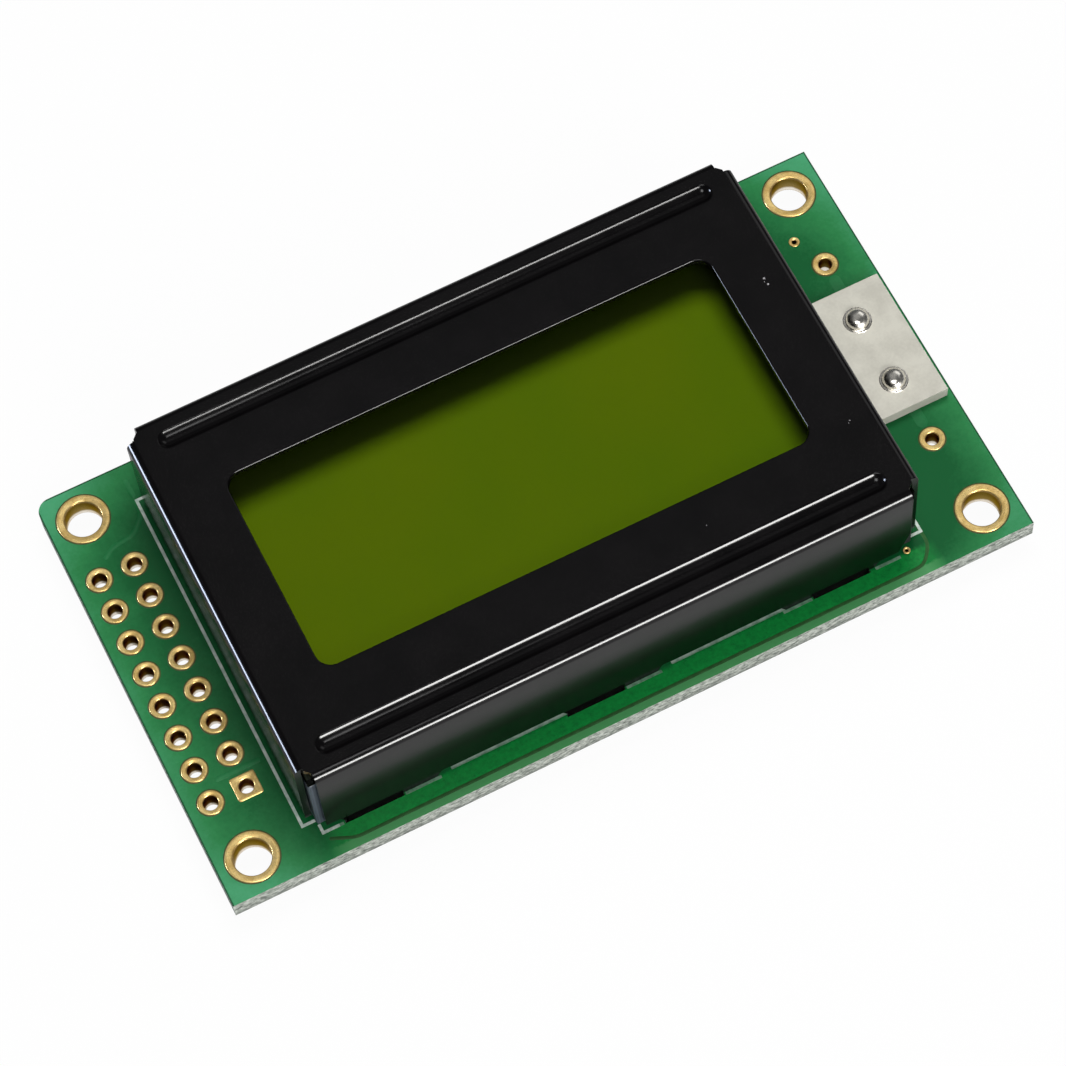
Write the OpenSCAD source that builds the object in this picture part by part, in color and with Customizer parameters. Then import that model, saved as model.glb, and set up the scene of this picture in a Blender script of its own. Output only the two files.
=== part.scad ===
// Character display module: two rows of eight characters. A liquid crystal cell sits under
// a folded steel bezel, on two rubber connector strips and a side-tab LED light box, and the
// bezel is held by six tabs folded over behind the circuit board.
// Millimetres, +Z out of the display. The origin is the centre of the mounting hole pattern
// on the back face of the circuit board.

/* [Circuit board] */
// Length of the board along X
board_l = 58; // [57.6:0.1:62]
// Depth of the board along Y
board_w = 32; // [31.4:0.1:36]
// Thickness of the board
board_t = 1.6; // [0.8:0.1:2.4]
// Radius of the one rounded board corner
board_corner_r = 1; // [0.2:0.1:2]
// Thickness of the plated copper that lines a hole and lies round it
plating_t = 0.05; // [0.03:0.01:0.08]

/* [Mounting holes] */
// Distance of a mounting hole's centre from the board's edges
mount_inset = 2.5; // [2.2:0.05:2.6]
// Radius of a finished mounting hole
mount_hole_r = 1.25; // [1:0.05:1.5]
// Width of the bare plated ring round a mounting hole
mount_ring_w = 0.55; // [0.3:0.05:0.65]

/* [Header holes] */
// Holes in each of the two header columns
header_rows = 8; // [6:1:8]
// Distance between neighbouring header holes
header_pitch = 2.54; // [2.5:0.01:2.6]
// Distance of the outer header column from the board's left edge
header_inset = 1.66; // [1.4:0.02:1.7]
// Radius of a finished header hole
header_hole_r = 0.5; // [0.4:0.05:0.55]
// Width of the plated ring round a header hole
header_ring_w = 0.38; // [0.25:0.01:0.4]
// Side of the square ring that marks the first header hole
pin_one_side = 1.66; // [1.5:0.02:1.8]

/* [Side holes and vias] */
// Distance of the two side holes from the board's right edge
side_hole_inset = 2.9; // [2.4:0.1:3.2]
// Distance between the two side holes along Y
side_hole_pitch = 15; // [14:0.2:16]
// Radius of a finished side hole
side_hole_r = 0.45; // [0.35:0.05:0.55]
// Width of the plated ring round a side hole
side_ring_w = 0.42; // [0.25:0.01:0.5]
// Radius of a finished via
via_hole_r = 0.16; // [0.1:0.02:0.2]
// Width of the plated ring round a via
via_ring_w = 0.22; // [0.15:0.01:0.25]
// Distance of the back via from the back side hole along X
via_shift = 1.05; // [0.9:0.05:1.5]
// Distance of the back via behind the back side hole along Y
via_rise = 2.5; // [1.8:0.1:2.6]

/* [Printed outline] */
// Width of the printed line round the bezel
print_line_w = 0.2; // [0.12:0.02:0.24]
// Thickness of the printed ink
print_t = 0.03; // [0.02:0.01:0.04]
// Distance from the bezel's short walls to the middle of the printed line
print_gap_x = 0.37; // [0.3:0.01:0.45]
// Length of a break in the printed line beside a foot or the tab
print_break = 1; // [0.5:0.1:1.5]

/* [Bezel] */
// Distance of the bezel from the board's left edge, where the header is
margin_left = 6.6; // [6.5:0.05:7.5]
// Distance of the bezel from the board's right edge, where the tab is
margin_right = 7.2; // [7:0.05:7.6]
// Distance of the bezel from the board's front and back edges
margin_y = 2; // [1.6:0.1:2.4]
// Height of the bezel's front above the board
bezel_h = 8.2; // [7.6:0.1:9.5]
// Thickness of the steel sheet
sheet_t = 0.45; // [0.3:0.05:0.5]
// Outer radius of the bends
bend_r = 0.6; // [0.55:0.05:0.9]
// Distance from a corner, along X, at which the long walls end
notch_x = 1.0; // [0.9:0.05:1.3]
// Distance from a corner, along Y, at which the short walls end
notch_y = 1.1; // [0.9:0.05:1.3]
// Corner bevel of the bezel's flat front
plate_bevel = 0.35; // [0.2:0.05:0.5]
// Clearance between the walls' lower edges and the board
wall_lift = 0.6; // [0.4:0.05:0.8]
// Width of the slanting cut at the right end of each long wall
end_cut_w = 0.8; // [0.4:0.1:1.2]
// Height of that slanting cut
end_cut_h = 2.1; // [1:0.1:3]

/* [Bezel window] */
// Width of the bezel's face to the left and the right of the window
border_x = 4.6; // [4:0.1:6]
// Mean width of the bezel's face before and behind the window
border_y = 6.4; // [5.8:0.1:7]
// Place of the window's middle along Y
window_y = 0.2; // [-0.2:0.1:0.4]
// Corner radius of the window
window_r = 1.1; // [0.5:0.1:1.5]
// Bevel of the window's upper edge
window_bevel = 0.12; // [0.05:0.01:0.2]

/* [Bezel grooves] */
// Distance of a groove's middle from the bezel's long edge
groove_inset = 1.95; // [1.8:0.05:2.1]
// Distance of a groove's end from the bezel's short edge
groove_end = 1.9; // [1.7:0.1:3]
// Width of a pressed groove
groove_w = 1.45; // [1.3:0.05:1.6]
// Depth of a pressed groove
groove_d = 0.35; // [0.3:0.01:0.42]

/* [Bezel feet and tabs] */
// Length of a foot that stands on the board
foot_l = 6.4; // [5.8:0.1:7]
// Distance of the left foot's middle from the bezel's left edge
foot_left = 5.55; // [5.4:0.05:6.2]
// Distance of the right foot's middle from the bezel's right edge
foot_right = 6.85; // [6:0.05:7.2]
// Length of a folded tab along its foot
tab_l = 3.8; // [3:0.1:3.9]
// Distance of the left and middle tabs from the middle of their feet
tab_shift = 1.25; // [0.9:0.05:1.3]
// Distance of the right tab from the middle of its foot
tab_shift_right = 0.8; // [0:0.05:1.2]
// Reach of a tab folded in behind the board
tab_reach = 2.6; // [2:0.1:3]
// Clearance round a tab in its board slot
slot_gap = 0.2; // [0.1:0.02:0.24]

/* [Liquid crystal cell] */
// Thickness of each glass
glass_t = 1.1; // [0.7:0.1:1.2]
// Clearance between the front glass and the bezel's short walls
glass_gap_x = 0.1; // [0.05:0.05:0.3]
// Clearance between the front glass and the bezel's long walls
glass_gap_y = 0.15; // [0.05:0.05:0.3]
// Clearance between the front glass and the ridges under the grooves
press_gap = 0.05; // [0.03:0.01:0.1]
// Thickness of the seal between the glasses
seal_t = 0.05; // [0.03:0.01:0.1]
// Width of the seal between the glasses
seal_w = 0.8; // [0.5:0.1:1.2]
// Thickness of each polarising film
film_t = 0.25; // [0.15:0.01:0.28]
// Distance of a film's edges inside those of the rear glass
film_inset = 0.8; // [0.4:0.1:1.2]

/* [Connector strips] */
// Clearance between a connector strip and the bezel's long wall
strip_gap = 0.1; // [0.05:0.05:0.2]
// Clearance between a connector strip and the cell or the light box
strip_side_gap = 0.3; // [0.2:0.05:0.5]

/* [Light box] */
// Distance of the light box from the bezel's short walls
light_gap_x = 0.8; // [0.5:0.1:1.5]
// Thickness of the light box's own board
light_board_t = 1.0; // [0.6:0.1:1.2]
// Wall thickness of the light box's frame
light_wall = 1.2; // [0.9:0.1:1.5]
// Width of the ledge that carries the diffuser
light_ledge = 0.6; // [0.4:0.1:1]
// Thickness of the diffuser
diffuser_t = 1.2; // [0.8:0.1:1.4]
// Clearance round the diffuser
diffuser_gap = 0.1; // [0.05:0.05:0.2]
// Side of one light-emitting die
die_side = 0.35; // [0.25:0.05:0.5]
// Dies in each of the two rows
die_columns = 7; // [4:1:10]

/* [Light box tab] */
// Depth of the tab along Y
lug_w = 9.9; // [9.4:0.1:10.4]
// Place of the tab's middle along Y
lug_y = -0.17; // [-0.3:0.01:0.1]
// Distance of the tab's end from the board's right edge
lug_inset = 0.43; // [0.3:0.01:0.8]
// Clearance of the tab in the bezel's wall
lug_gap = 0.12; // [0.08:0.02:0.3]
// Distance of the two lead wires from the board's right edge
lead_inset = 3.3; // [3:0.05:3.5]
// Distance between the lead wires
lead_pitch = 5.08; // [4.8:0.04:5.4]
// Place of the lead wires' middle along Y
lead_y = -0.33; // [-0.5:0.01:0]
// Radius of a lead wire
lead_r = 0.3; // [0.25:0.01:0.35]
// Length of a lead wire below the board
lead_stub = 0.7; // [0.5:0.05:1]
// Base radius of a solder joint on the tab
joint_r = 0.95; // [0.8:0.05:1.1]
// Height of a solder joint on the tab
joint_h = 0.62; // [0.5:0.02:0.7]
// Clearance of a lead wire in its holes
lead_clear = 0.08; // [0.05:0.01:0.12]
// Outer radius of the plated ring round a lead wire behind the board
lead_land_r = 0.75; // [0.7:0.05:0.9]

/* [Back side] */
// Place of the resin drop over the driver chip, along X
drop_x = -1.5; // [-3:0.5:1]
// Radius of the resin drop
drop_r = 6.5; // [5:0.1:7]
// Height of the resin drop
drop_h = 1.3; // [0.8:0.1:1.6]
// Length of a chip part
chip_l = 2; // [1.8:0.1:2.2]
// Width of a chip part
chip_w = 1.25; // [1:0.05:1.4]
// Thickness of a chip resistor
resistor_t = 0.5; // [0.4:0.05:0.6]
// Thickness of a chip capacitor
capacitor_t = 0.85; // [0.6:0.05:1]
// Length of a chip part's metal end
chip_end = 0.35; // [0.25:0.05:0.5]
// Place of the resistors along X
resistor_x = 12.5; // [10:0.5:16]
// Distance between neighbouring resistors
resistor_pitch = 2.2; // [2:0.1:2.6]
// Place of the capacitors along X
capacitor_x = -13; // [-15:0.5:-11]
// Distance between the capacitors
capacitor_gap = 12; // [6:1:14]
// Reach of the solder beyond a chip part's end
solder_reach = 0.4; // [0.3:0.05:0.5]

/* [Hidden] */
$fn = 64;
overlap = 0.1;
print_clear = 0.02;
via_reach = 0.13;
via_in = 0.09;

header_count = 2 * header_rows;
resistor_count = 5;
capacitor_count = 2;
header_names = [for (i = [1 : header_count]) str("header_pad_", i)];
resistor_names = [for (i = [1 : resistor_count]) str("resistor_", i)];
capacitor_names = [for (i = [1 : capacitor_count]) str("capacitor_", i)];
mount_names = [for (i = [1 : 4]) str("mounting_pad_", i)];
SIDES = ["front", "back"];

// Board and holes
mount_x = board_l / 2 - mount_inset;
mount_y = board_w / 2 - mount_inset;
mount_places = [[-mount_x, -mount_y], [mount_x, -mount_y], [mount_x, mount_y], [-mount_x, mount_y]];
header_outer_x = header_inset - board_l / 2;
header_inner_x = header_outer_x + header_pitch;
header_first_y = -(header_rows - 1) * header_pitch / 2;
side_hole_x = board_l / 2 - side_hole_inset;
via_land_r = via_hole_r + via_ring_w;

// Bezel
bezel_l = board_l - margin_left - margin_right;
bezel_w = board_w - 2 * margin_y;
bezel_x = (margin_left - margin_right) / 2;
window_l = bezel_l - 2 * border_x;
window_w = bezel_w - 2 * border_y;
z_top = board_t + bezel_h;
z_sheet = z_top - sheet_t;
z_wall = board_t + wall_lift;
bezel_left = bezel_x - bezel_l / 2;
bezel_right = bezel_x + bezel_l / 2;
inner_l = bezel_l - 2 * sheet_t;
inner_w = bezel_w - 2 * sheet_t;
groove_r = (pow(groove_d, 2) + pow(groove_w / 2, 2)) / (2 * groove_d);
groove_axis_z = z_top - groove_d + groove_r;
groove_y = bezel_w / 2 - groove_inset;
groove_half_l = bezel_l / 2 - groove_end - groove_w / 2;
foot_places = [for (i = [0 : 2])
    (bezel_left + foot_left) * (1 - i / 2) + (bezel_right - foot_right) * i / 2];
tab_places = [
    foot_places[0] - tab_shift, foot_places[1] - tab_shift, foot_places[2] + tab_shift_right];

// Cell, from the grooves' ridges down
z_glass = z_sheet - groove_d - press_gap;
z_seal = z_glass - glass_t;
z_rear = z_seal - seal_t;
z_rear_film = z_rear - glass_t;
z_light = z_rear_film - film_t;
glass_l = inner_l - 2 * glass_gap_x;
glass_w = inner_w - 2 * glass_gap_y;
strip_w = 2 * (groove_inset - sheet_t - strip_gap);
rear_w = 2 * (groove_y - strip_w / 2 - strip_side_gap);
film_l = glass_l - 2 * film_inset;
film_w = rear_w - 2 * film_inset;

// Light box and its tab
cone_share = 0.6;
cone_waist = 0.07;
light_l = inner_l - 2 * light_gap_x;
light_rim = light_wall + light_ledge;
light_room_l = light_l - 2 * light_rim;
light_room_w = rear_w - 2 * light_rim;
z_light_board = board_t + light_board_t;
lug_end_x = board_l / 2 - lug_inset;
lead_x = board_l / 2 - lead_inset;
joint_sphere_r = (pow(joint_h, 2) + pow(joint_r, 2)) / (2 * joint_h);
lead_hole_r = lead_r + lead_clear;

// Back side
resistor_place = [resistor_x, -(resistor_count - 1) / 2 * resistor_pitch];
capacitor_places = [for (y = [1, -1]) [capacitor_x, y * capacitor_gap / 2]];

// Place of one header hole: odd numbers in the inner column, even in the outer, from the front
function header_place(i) = [
    i % 2 == 1 ? header_inner_x : header_outer_x,
    header_first_y + floor((i - 1) / 2) * header_pitch];

// Place of one side hole or lead wire, on the front or the back half
function side_sign(s) = s == "front" ? -1 : 1;
function side_place(s) = [side_hole_x, side_sign(s) * side_hole_pitch / 2];
function lead_place(s) = [lead_x, lead_y + side_sign(s) * lead_pitch / 2];

// Places of the vias: beside the back side hole, and in the bezel's notch at the front right
function via_places() = [
    [side_hole_x - via_shift, side_hole_pitch / 2 + via_rise],
    [bezel_right - notch_x - via_reach, -bezel_w / 2 + via_in]];

// Rounded rectangle with true arcs at its corners
module rounded_rectangle(l, w, r) {
    square([l - 2 * r, w], center = true);
    square([l, w - 2 * r], center = true);
    for (x = [-1, 1], y = [-1, 1])
        translate([x * (l / 2 - r), y * (w / 2 - r)]) circle(r);
}

// Board outline, square but for one rounded corner at the back left
module board_outline() {
    difference() {
        square([board_l, board_w], center = true);
        translate([-board_l / 2, board_w / 2 - board_corner_r]) square(board_corner_r + overlap);
        translate([-board_l / 2 - overlap, board_w / 2 - board_corner_r])
            square(board_corner_r + overlap);
    }
    translate([-board_l / 2 + board_corner_r, board_w / 2 - board_corner_r]) circle(board_corner_r);
}

// Round hole through the board, wide enough for its plating
module board_hole(place, hole_r)
    translate([place[0], place[1], -overlap]) cylinder(h = board_t + 2 * overlap, r = hole_r + plating_t);

// Slot through the board for one bezel tab
module tab_slot(x, side)
    translate([x, side * (bezel_w - sheet_t) / 2, board_t / 2])
        cube([tab_l + 2 * slot_gap, sheet_t + 2 * slot_gap, board_t + 2 * overlap], center = true);

module circuit_board() {
    color("seagreen")
    difference() {
        linear_extrude(board_t) board_outline();
        for (p = mount_places) board_hole(p, mount_hole_r);
        for (i = [1 : header_count]) board_hole(header_place(i), header_hole_r);
        for (s = SIDES) board_hole(side_place(s), side_hole_r);
        for (s = SIDES) board_hole(lead_place(s), lead_hole_r);
        for (p = via_places()) board_hole(p, via_hole_r);
        for (x = tab_places, side = [-1, 1]) tab_slot(x, side);
    }
}

// Plated hole: a barrel with a flat ring on each face of the board
module plated_hole(hole_r, ring_w) {
    land_r = hole_r + ring_w;
    rotate_extrude()
        polygon([
            [hole_r, -plating_t], [land_r, -plating_t], [land_r, 0], [hole_r + plating_t, 0],
            [hole_r + plating_t, board_t], [land_r, board_t], [land_r, board_t + plating_t],
            [hole_r, board_t + plating_t]]);
}

module mounting_pad(i)
    color("goldenrod") translate(mount_places[i - 1]) plated_hole(mount_hole_r, mount_ring_w);

// The first header hole has square rings, the others round ones
module header_pad(i) {
    color("goldenrod")
    translate(header_place(i)) {
        plated_hole(header_hole_r, header_ring_w);
        if (i == 1)
            difference() {
                for (z = [-plating_t / 2, board_t + plating_t / 2])
                    translate([0, 0, z]) cube([pin_one_side, pin_one_side, plating_t], center = true);
                translate([0, 0, -overlap])
                    cylinder(h = board_t + 2 * overlap, r = header_hole_r + plating_t / 2);
            }
    }
}

module side_pad(s) color("goldenrod") translate(side_place(s)) plated_hole(side_hole_r, side_ring_w);

module lead_pad(s) {
    // Only the back face has a ring, because the light box's board lies on the front face
    color("goldenrod")
    translate(lead_place(s)) rotate_extrude()
        polygon([
            [lead_hole_r, -plating_t], [lead_land_r, -plating_t], [lead_land_r, 0],
            [lead_hole_r + plating_t, 0], [lead_hole_r + plating_t, board_t], [lead_hole_r, board_t]]);
}

module vias()
    color("goldenrod") for (p = via_places()) translate(p) plated_hole(via_hole_r, via_ring_w);

// Straight stretch of printed line between two points, square at its ends
module print_line(a, b)
    translate([min(a[0], b[0]) - print_line_w / 2, min(a[1], b[1]) - print_line_w / 2, board_t])
        cube([abs(a[0] - b[0]) + print_line_w, abs(a[1] - b[1]) + print_line_w, print_t]);

// The line follows the bezel's stepped corners, clear of the strips, and swells out at the feet
module printed_outline() {
    left = bezel_left - print_gap_x;
    right = bezel_right + print_gap_x;
    step_left = bezel_left + notch_x - print_gap_x;
    step_y = bezel_w / 2 - notch_y + print_line_w;
    wall_y = bezel_w / 2 - print_line_w / 2;
    foot_y = bezel_w / 2 + print_line_w / 2 + print_clear;
    strip_y = groove_y + strip_w / 2 + print_line_w / 2 + print_clear;
    strip_reach = glass_l / 2 + print_line_w / 2 + print_clear;
    slot_half = tab_l / 2 + slot_gap + print_line_w;
    foot_half = foot_l / 2 + print_line_w;
    line_end = bezel_right - notch_x - end_cut_w;
    color("gainsboro")
    for (side = [-1, 1]) {
        print_line([left, 0], [left, side * step_y]);
        print_line([left, side * step_y], [bezel_x - strip_reach, side * step_y]);
        print_line([step_left, side * strip_y], [step_left, side * foot_y]);
        print_line([step_left, side * foot_y], [tab_places[0] - slot_half, side * foot_y]);
        for (i = [0, 1]) {
            foot_end = foot_places[i] + foot_half;
            print_line([tab_places[i] + slot_half, side * foot_y], [foot_end, side * foot_y]);
            print_line([foot_end + print_break, side * wall_y],
                [foot_places[i + 1] - foot_half, side * wall_y]);
        }
        print_line([foot_places[2] - foot_half, side * foot_y], [tab_places[2] - slot_half, side * foot_y]);
        print_line([foot_places[2] + foot_half, side * foot_y], [line_end, side * foot_y]);
        print_line([right, side * (lug_w / 2 + print_break)], [right, side * step_y]);
        print_line([bezel_x + strip_reach, side * step_y], [right, side * step_y]);
    }
}

// Half-round-cornered section of a folded sheet, as wide as w, from z0 up to z1
module folded_section(w, r, z0, z1) {
    translate([-w / 2, z0]) square([w, z1 - r - z0]);
    translate([-w / 2 + r, z0]) square([w - 2 * r, z1 - z0]);
    for (x = [-1, 1]) translate([x * (w / 2 - r), z1 - r]) circle(r);
}

// Channel section: two walls and the flat between them
module channel_section(w)
    difference() {
        folded_section(w, bend_r, z_wall, z_top);
        folded_section(w - 2 * sheet_t, bend_r - sheet_t, z_wall - overlap, z_sheet);
    }

// The flat front with bevelled corners
module front_plate()
    translate([bezel_x, 0, z_sheet]) linear_extrude(sheet_t)
        polygon([
            for (q = [[1, 1, 0], [-1, 1, 1], [-1, -1, 0], [1, -1, 1]], k = [0, 1])
                let (first = (k == q[2]))
                [q[0] * (bezel_l / 2 - bend_r - (first ? 0 : plate_bevel)),
                 q[1] * (bezel_w / 2 - bend_r - (first ? plate_bevel : 0))]]);

// Rod with round ends along X, the shape of the tool that presses a groove
module groove_tool(r, y)
    translate([bezel_x, y, groove_axis_z]) {
        rotate([0, 90, 0]) cylinder(h = 2 * groove_half_l, r = r, center = true);
        for (x = [-1, 1]) translate([x * groove_half_l, 0, 0]) sphere(r);
    }

// Section of a cut that opens upwards at 45 degrees, from half-width a
module bevel_section(a, b) polygon([[-a, 0], [a, 0], [a + 2 * b, 2 * b], [-a - 2 * b, 2 * b]]);

// Window through the front, with its upper edge bevelled all round
module window_cut() {
    b = window_bevel;
    translate([bezel_x, window_y, 0]) {
        translate([0, 0, z_sheet - overlap]) linear_extrude(sheet_t + 2 * overlap)
            rounded_rectangle(window_l, window_w, window_r);
        translate([0, 0, z_top - b]) {
            rotate([90, 0, 0]) linear_extrude(window_w - 2 * window_r, center = true)
                bevel_section(window_l / 2, b);
            rotate([90, 0, 90]) linear_extrude(window_l - 2 * window_r, center = true)
                bevel_section(window_w / 2, b);
            for (x = [-1, 1], y = [-1, 1])
                translate([x * (window_l / 2 - window_r), y * (window_w / 2 - window_r), 0])
                    cylinder(h = 2 * b, r1 = window_r, r2 = window_r + 2 * b);
        }
    }
}

// Tab section in the YZ plane: through the slot, round a bend and in behind the board
module tab_section() {
    wall = bezel_w / 2;
    square_z = bend_r - sheet_t;
    translate([wall - sheet_t, square_z]) square([sheet_t, board_t - square_z + overlap]);
    translate([wall - tab_reach, -sheet_t]) square([tab_reach - bend_r, sheet_t]);
    translate([wall - bend_r, square_z]) intersection() {
        difference() {
            circle(bend_r);
            circle(bend_r - sheet_t);
        }
        translate([0, -bend_r]) square(bend_r);
    }
}

// Long-wall foot on the board, with the tab that goes on through it
module foot_and_tab(foot, tab, side)
    mirror([0, side < 0 ? 1 : 0, 0]) {
        translate([foot - foot_l / 2, bezel_w / 2 - sheet_t, board_t])
            cube([foot_l, sheet_t, wall_lift + overlap]);
        translate([tab, 0, 0]) rotate([90, 0, 90]) linear_extrude(tab_l, center = true) tab_section();
    }

// Slanting cut at the right end of both long walls
module end_cut()
    translate([bezel_right - notch_x, 0, z_wall]) rotate([90, 0, 0])
        linear_extrude(bezel_w + 2 * overlap, center = true)
            polygon([
                [-end_cut_w, -overlap], [overlap, -overlap], [overlap, end_cut_h], [0, end_cut_h],
                [-end_cut_w, 0]]);

module bezel() {
    color([0.11, 0.11, 0.12])
    difference() {
        union() {
            translate([bezel_x, 0, 0]) rotate([90, 0, 90])
                linear_extrude(bezel_l - 2 * notch_x, center = true) channel_section(bezel_w);
            translate([bezel_x, 0, 0]) rotate([90, 0, 0])
                linear_extrude(bezel_w - 2 * notch_y, center = true) channel_section(bezel_l);
            front_plate();
            for (side = [-1, 1])
                intersection() {
                    groove_tool(groove_r + sheet_t, side * groove_y);
                    translate([bezel_x, 0, z_sheet - groove_d])
                        cube([bezel_l, bezel_w, 2 * groove_d + sheet_t / 2], center = true);
                }
            for (side = [-1, 1], i = [0 : 2]) foot_and_tab(foot_places[i], tab_places[i], side);
        }
        for (side = [-1, 1]) groove_tool(groove_r, side * groove_y);
        window_cut();
        end_cut();
        translate([bezel_right - 2 * sheet_t, lug_y - lug_w / 2 - lug_gap, z_wall - overlap])
            cube([3 * sheet_t, lug_w + 2 * lug_gap, z_light_board + lug_gap - z_wall + overlap]);
    }
}

// Flat sheet centred under the bezel
module sheet(l, w, y, z, t) translate([bezel_x - l / 2, y - w / 2, z]) cube([l, w, t]);

module front_film() color("olivedrab") sheet(film_l, film_w, 0, z_glass, film_t);

module front_glass() color("lightsteelblue") sheet(glass_l, glass_w, 0, z_seal, glass_t);

module cell_seal() {
    color("dimgray")
    difference() {
        sheet(glass_l - 2 * seal_w, rear_w - seal_w, 0, z_rear, seal_t);
        translate([0, 0, -overlap])
            sheet(glass_l - 4 * seal_w, rear_w - 3 * seal_w, 0, z_rear, seal_t + 2 * overlap);
    }
}

module rear_glass() color("lightsteelblue") sheet(glass_l, rear_w, 0, z_rear_film, glass_t);

module rear_film() color("yellowgreen") sheet(film_l, film_w, 0, z_light, film_t);

// Rubber strip that joins the board's contacts to those under the front glass's edge
module connector_strip(s) {
    color("slategray")
    sheet(glass_l, strip_w, side_sign(s) * groove_y, board_t, z_seal - board_t);
}

// The light box's own board, with the tab that comes out under the bezel's right wall
module light_board() {
    color("ivory")
    difference() {
        union() {
            sheet(light_l, rear_w, 0, board_t, light_board_t);
            translate([bezel_x, lug_y - lug_w / 2, board_t])
                cube([lug_end_x - bezel_x, lug_w, light_board_t]);
        }
        for (s = SIDES)
            translate([lead_place(s)[0], lead_place(s)[1], board_t - overlap])
                cylinder(h = light_board_t + 2 * overlap, r = lead_hole_r);
    }
}

// Frame of the light box, open above and below, with a ledge for the diffuser
module light_frame() {
    h = z_light - z_light_board;
    color("white")
    difference() {
        sheet(light_l, rear_w, 0, z_light_board, h);
        sheet(light_room_l, light_room_w, 0, z_light_board - overlap, h + 2 * overlap);
        sheet(light_l - 2 * light_wall, rear_w - 2 * light_wall, 0, z_light - diffuser_t,
            diffuser_t + overlap);
    }
}

module diffuser() {
    rim = light_wall + diffuser_gap;
    color("palegoldenrod")
    sheet(light_l - 2 * rim, rear_w - 2 * rim, 0, z_light - diffuser_t, diffuser_t);
}

module light_dies() {
    color("gold")
    for (i = [1 : die_columns], side = [-1, 1]) {
        x = bezel_x + (i - (die_columns + 1) / 2) * light_room_l / die_columns;
        translate([x, side * light_room_w / 4, z_light_board + die_side / 2])
            cube(die_side, center = true);
    }
}

module lead_wire(s) {
    color("silver")
    translate([lead_place(s)[0], lead_place(s)[1], -lead_stub])
        cylinder(h = lead_stub + z_light_board + joint_h / 2, r = lead_r);
}

// Solder dome on the tab, closed over the end of its lead wire
module lug_joint(s) {
    color("silver")
    translate([lead_place(s)[0], lead_place(s)[1], z_light_board]) difference() {
        intersection() {
            translate([0, 0, joint_h - joint_sphere_r]) sphere(joint_sphere_r);
            cylinder(h = joint_h, r = joint_r + overlap);
        }
        translate([0, 0, -overlap]) cylinder(h = overlap + joint_h / 2, r = lead_r);
    }
}

// Solder cone round a lead wire behind the board
module lead_joint(s) {
    tip_z = -plating_t - lead_stub * cone_share;
    waist_r = (lead_r + lead_land_r) / 2 - cone_waist;
    color("silver")
    translate([lead_place(s)[0], lead_place(s)[1], 0]) rotate_extrude()
        polygon([
            [lead_r, -plating_t], [lead_land_r - plating_t, -plating_t],
            [waist_r, (tip_z - plating_t) / 2], [lead_r + plating_t, tip_z], [lead_r, tip_z]]);
}

// Low resin drop: a quarter ellipse turned round the Z axis
module driver_drop() {
    steps = 16;
    color([0.08, 0.08, 0.09])
    translate([drop_x, 0, 0]) rotate_extrude()
        polygon(concat(
            [[0, 0]],
            [for (i = [0 : steps]) [drop_r * cos(90 * i / steps), -drop_h * sin(90 * i / steps)]]));
}

// Places of the chip parts behind the board
function resistor_at(i) = resistor_place + [0, (i - 1) * resistor_pitch];
function chip_places() = concat([for (i = [1 : resistor_count]) resistor_at(i)], capacitor_places);

// Chip part with metal ends a hair larger than its body
module chip_part(place, t) {
    skin = 0.03;
    translate([place[0], place[1], -t / 2]) {
        cube([chip_l - 2 * skin, chip_w - 2 * skin, t - 2 * skin], center = true);
        for (x = [-1, 1])
            translate([x * (chip_l - chip_end) / 2, 0, 0]) cube([chip_end, chip_w, t], center = true);
    }
}

module resistor(i) color("black") chip_part(resistor_at(i), resistor_t);

module capacitor(i) color("tan") chip_part(capacitor_places[i - 1], capacitor_t);

// Sloping solder at both ends of every chip part
module chip_solder() {
    waist = 0.35;
    top = 0.8;
    color("silver")
    for (p = chip_places(), side = [-1, 1])
        translate(p) mirror([side < 0 ? 1 : 0, 0, 0]) translate([chip_l / 2, 0, 0])
            rotate([90, 0, 0]) linear_extrude(chip_w - chip_end / 2, center = true)
                polygon([
                    [0, 0], [solder_reach, 0], [solder_reach * waist, -resistor_t * waist],
                    [0, -resistor_t * top]]);
}

circuit_board();
for (i = [1 : 4]) mounting_pad(i);
for (i = [1 : header_count]) header_pad(i);
for (s = SIDES) side_pad(s);
vias();
printed_outline();
bezel();
front_film();
front_glass();
cell_seal();
rear_glass();
rear_film();
for (s = SIDES) connector_strip(s);
light_board();
light_frame();
diffuser();
light_dies();
for (s = SIDES) lead_pad(s);
for (s = SIDES) lead_wire(s);
for (s = SIDES) lug_joint(s);
for (s = SIDES) lead_joint(s);
driver_drop();
for (i = [1 : resistor_count]) resistor(i);
for (i = [1 : capacitor_count]) capacitor(i);
chip_solder();
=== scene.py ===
"""Looks of a small character display module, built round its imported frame.

Every length in this file is in millimetres until a mesh is made, where it becomes metres.
The origin is the centre of the mounting hole pattern on the back face of the circuit board,
+X runs away from the header holes and +Z points out of the display.
"""

from __future__ import annotations

import logging
import math
from dataclasses import dataclass, field
from enum import Enum
from typing import Protocol

import bmesh
import bpy
import numpy as np
from mathutils import Matrix, Vector

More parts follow.
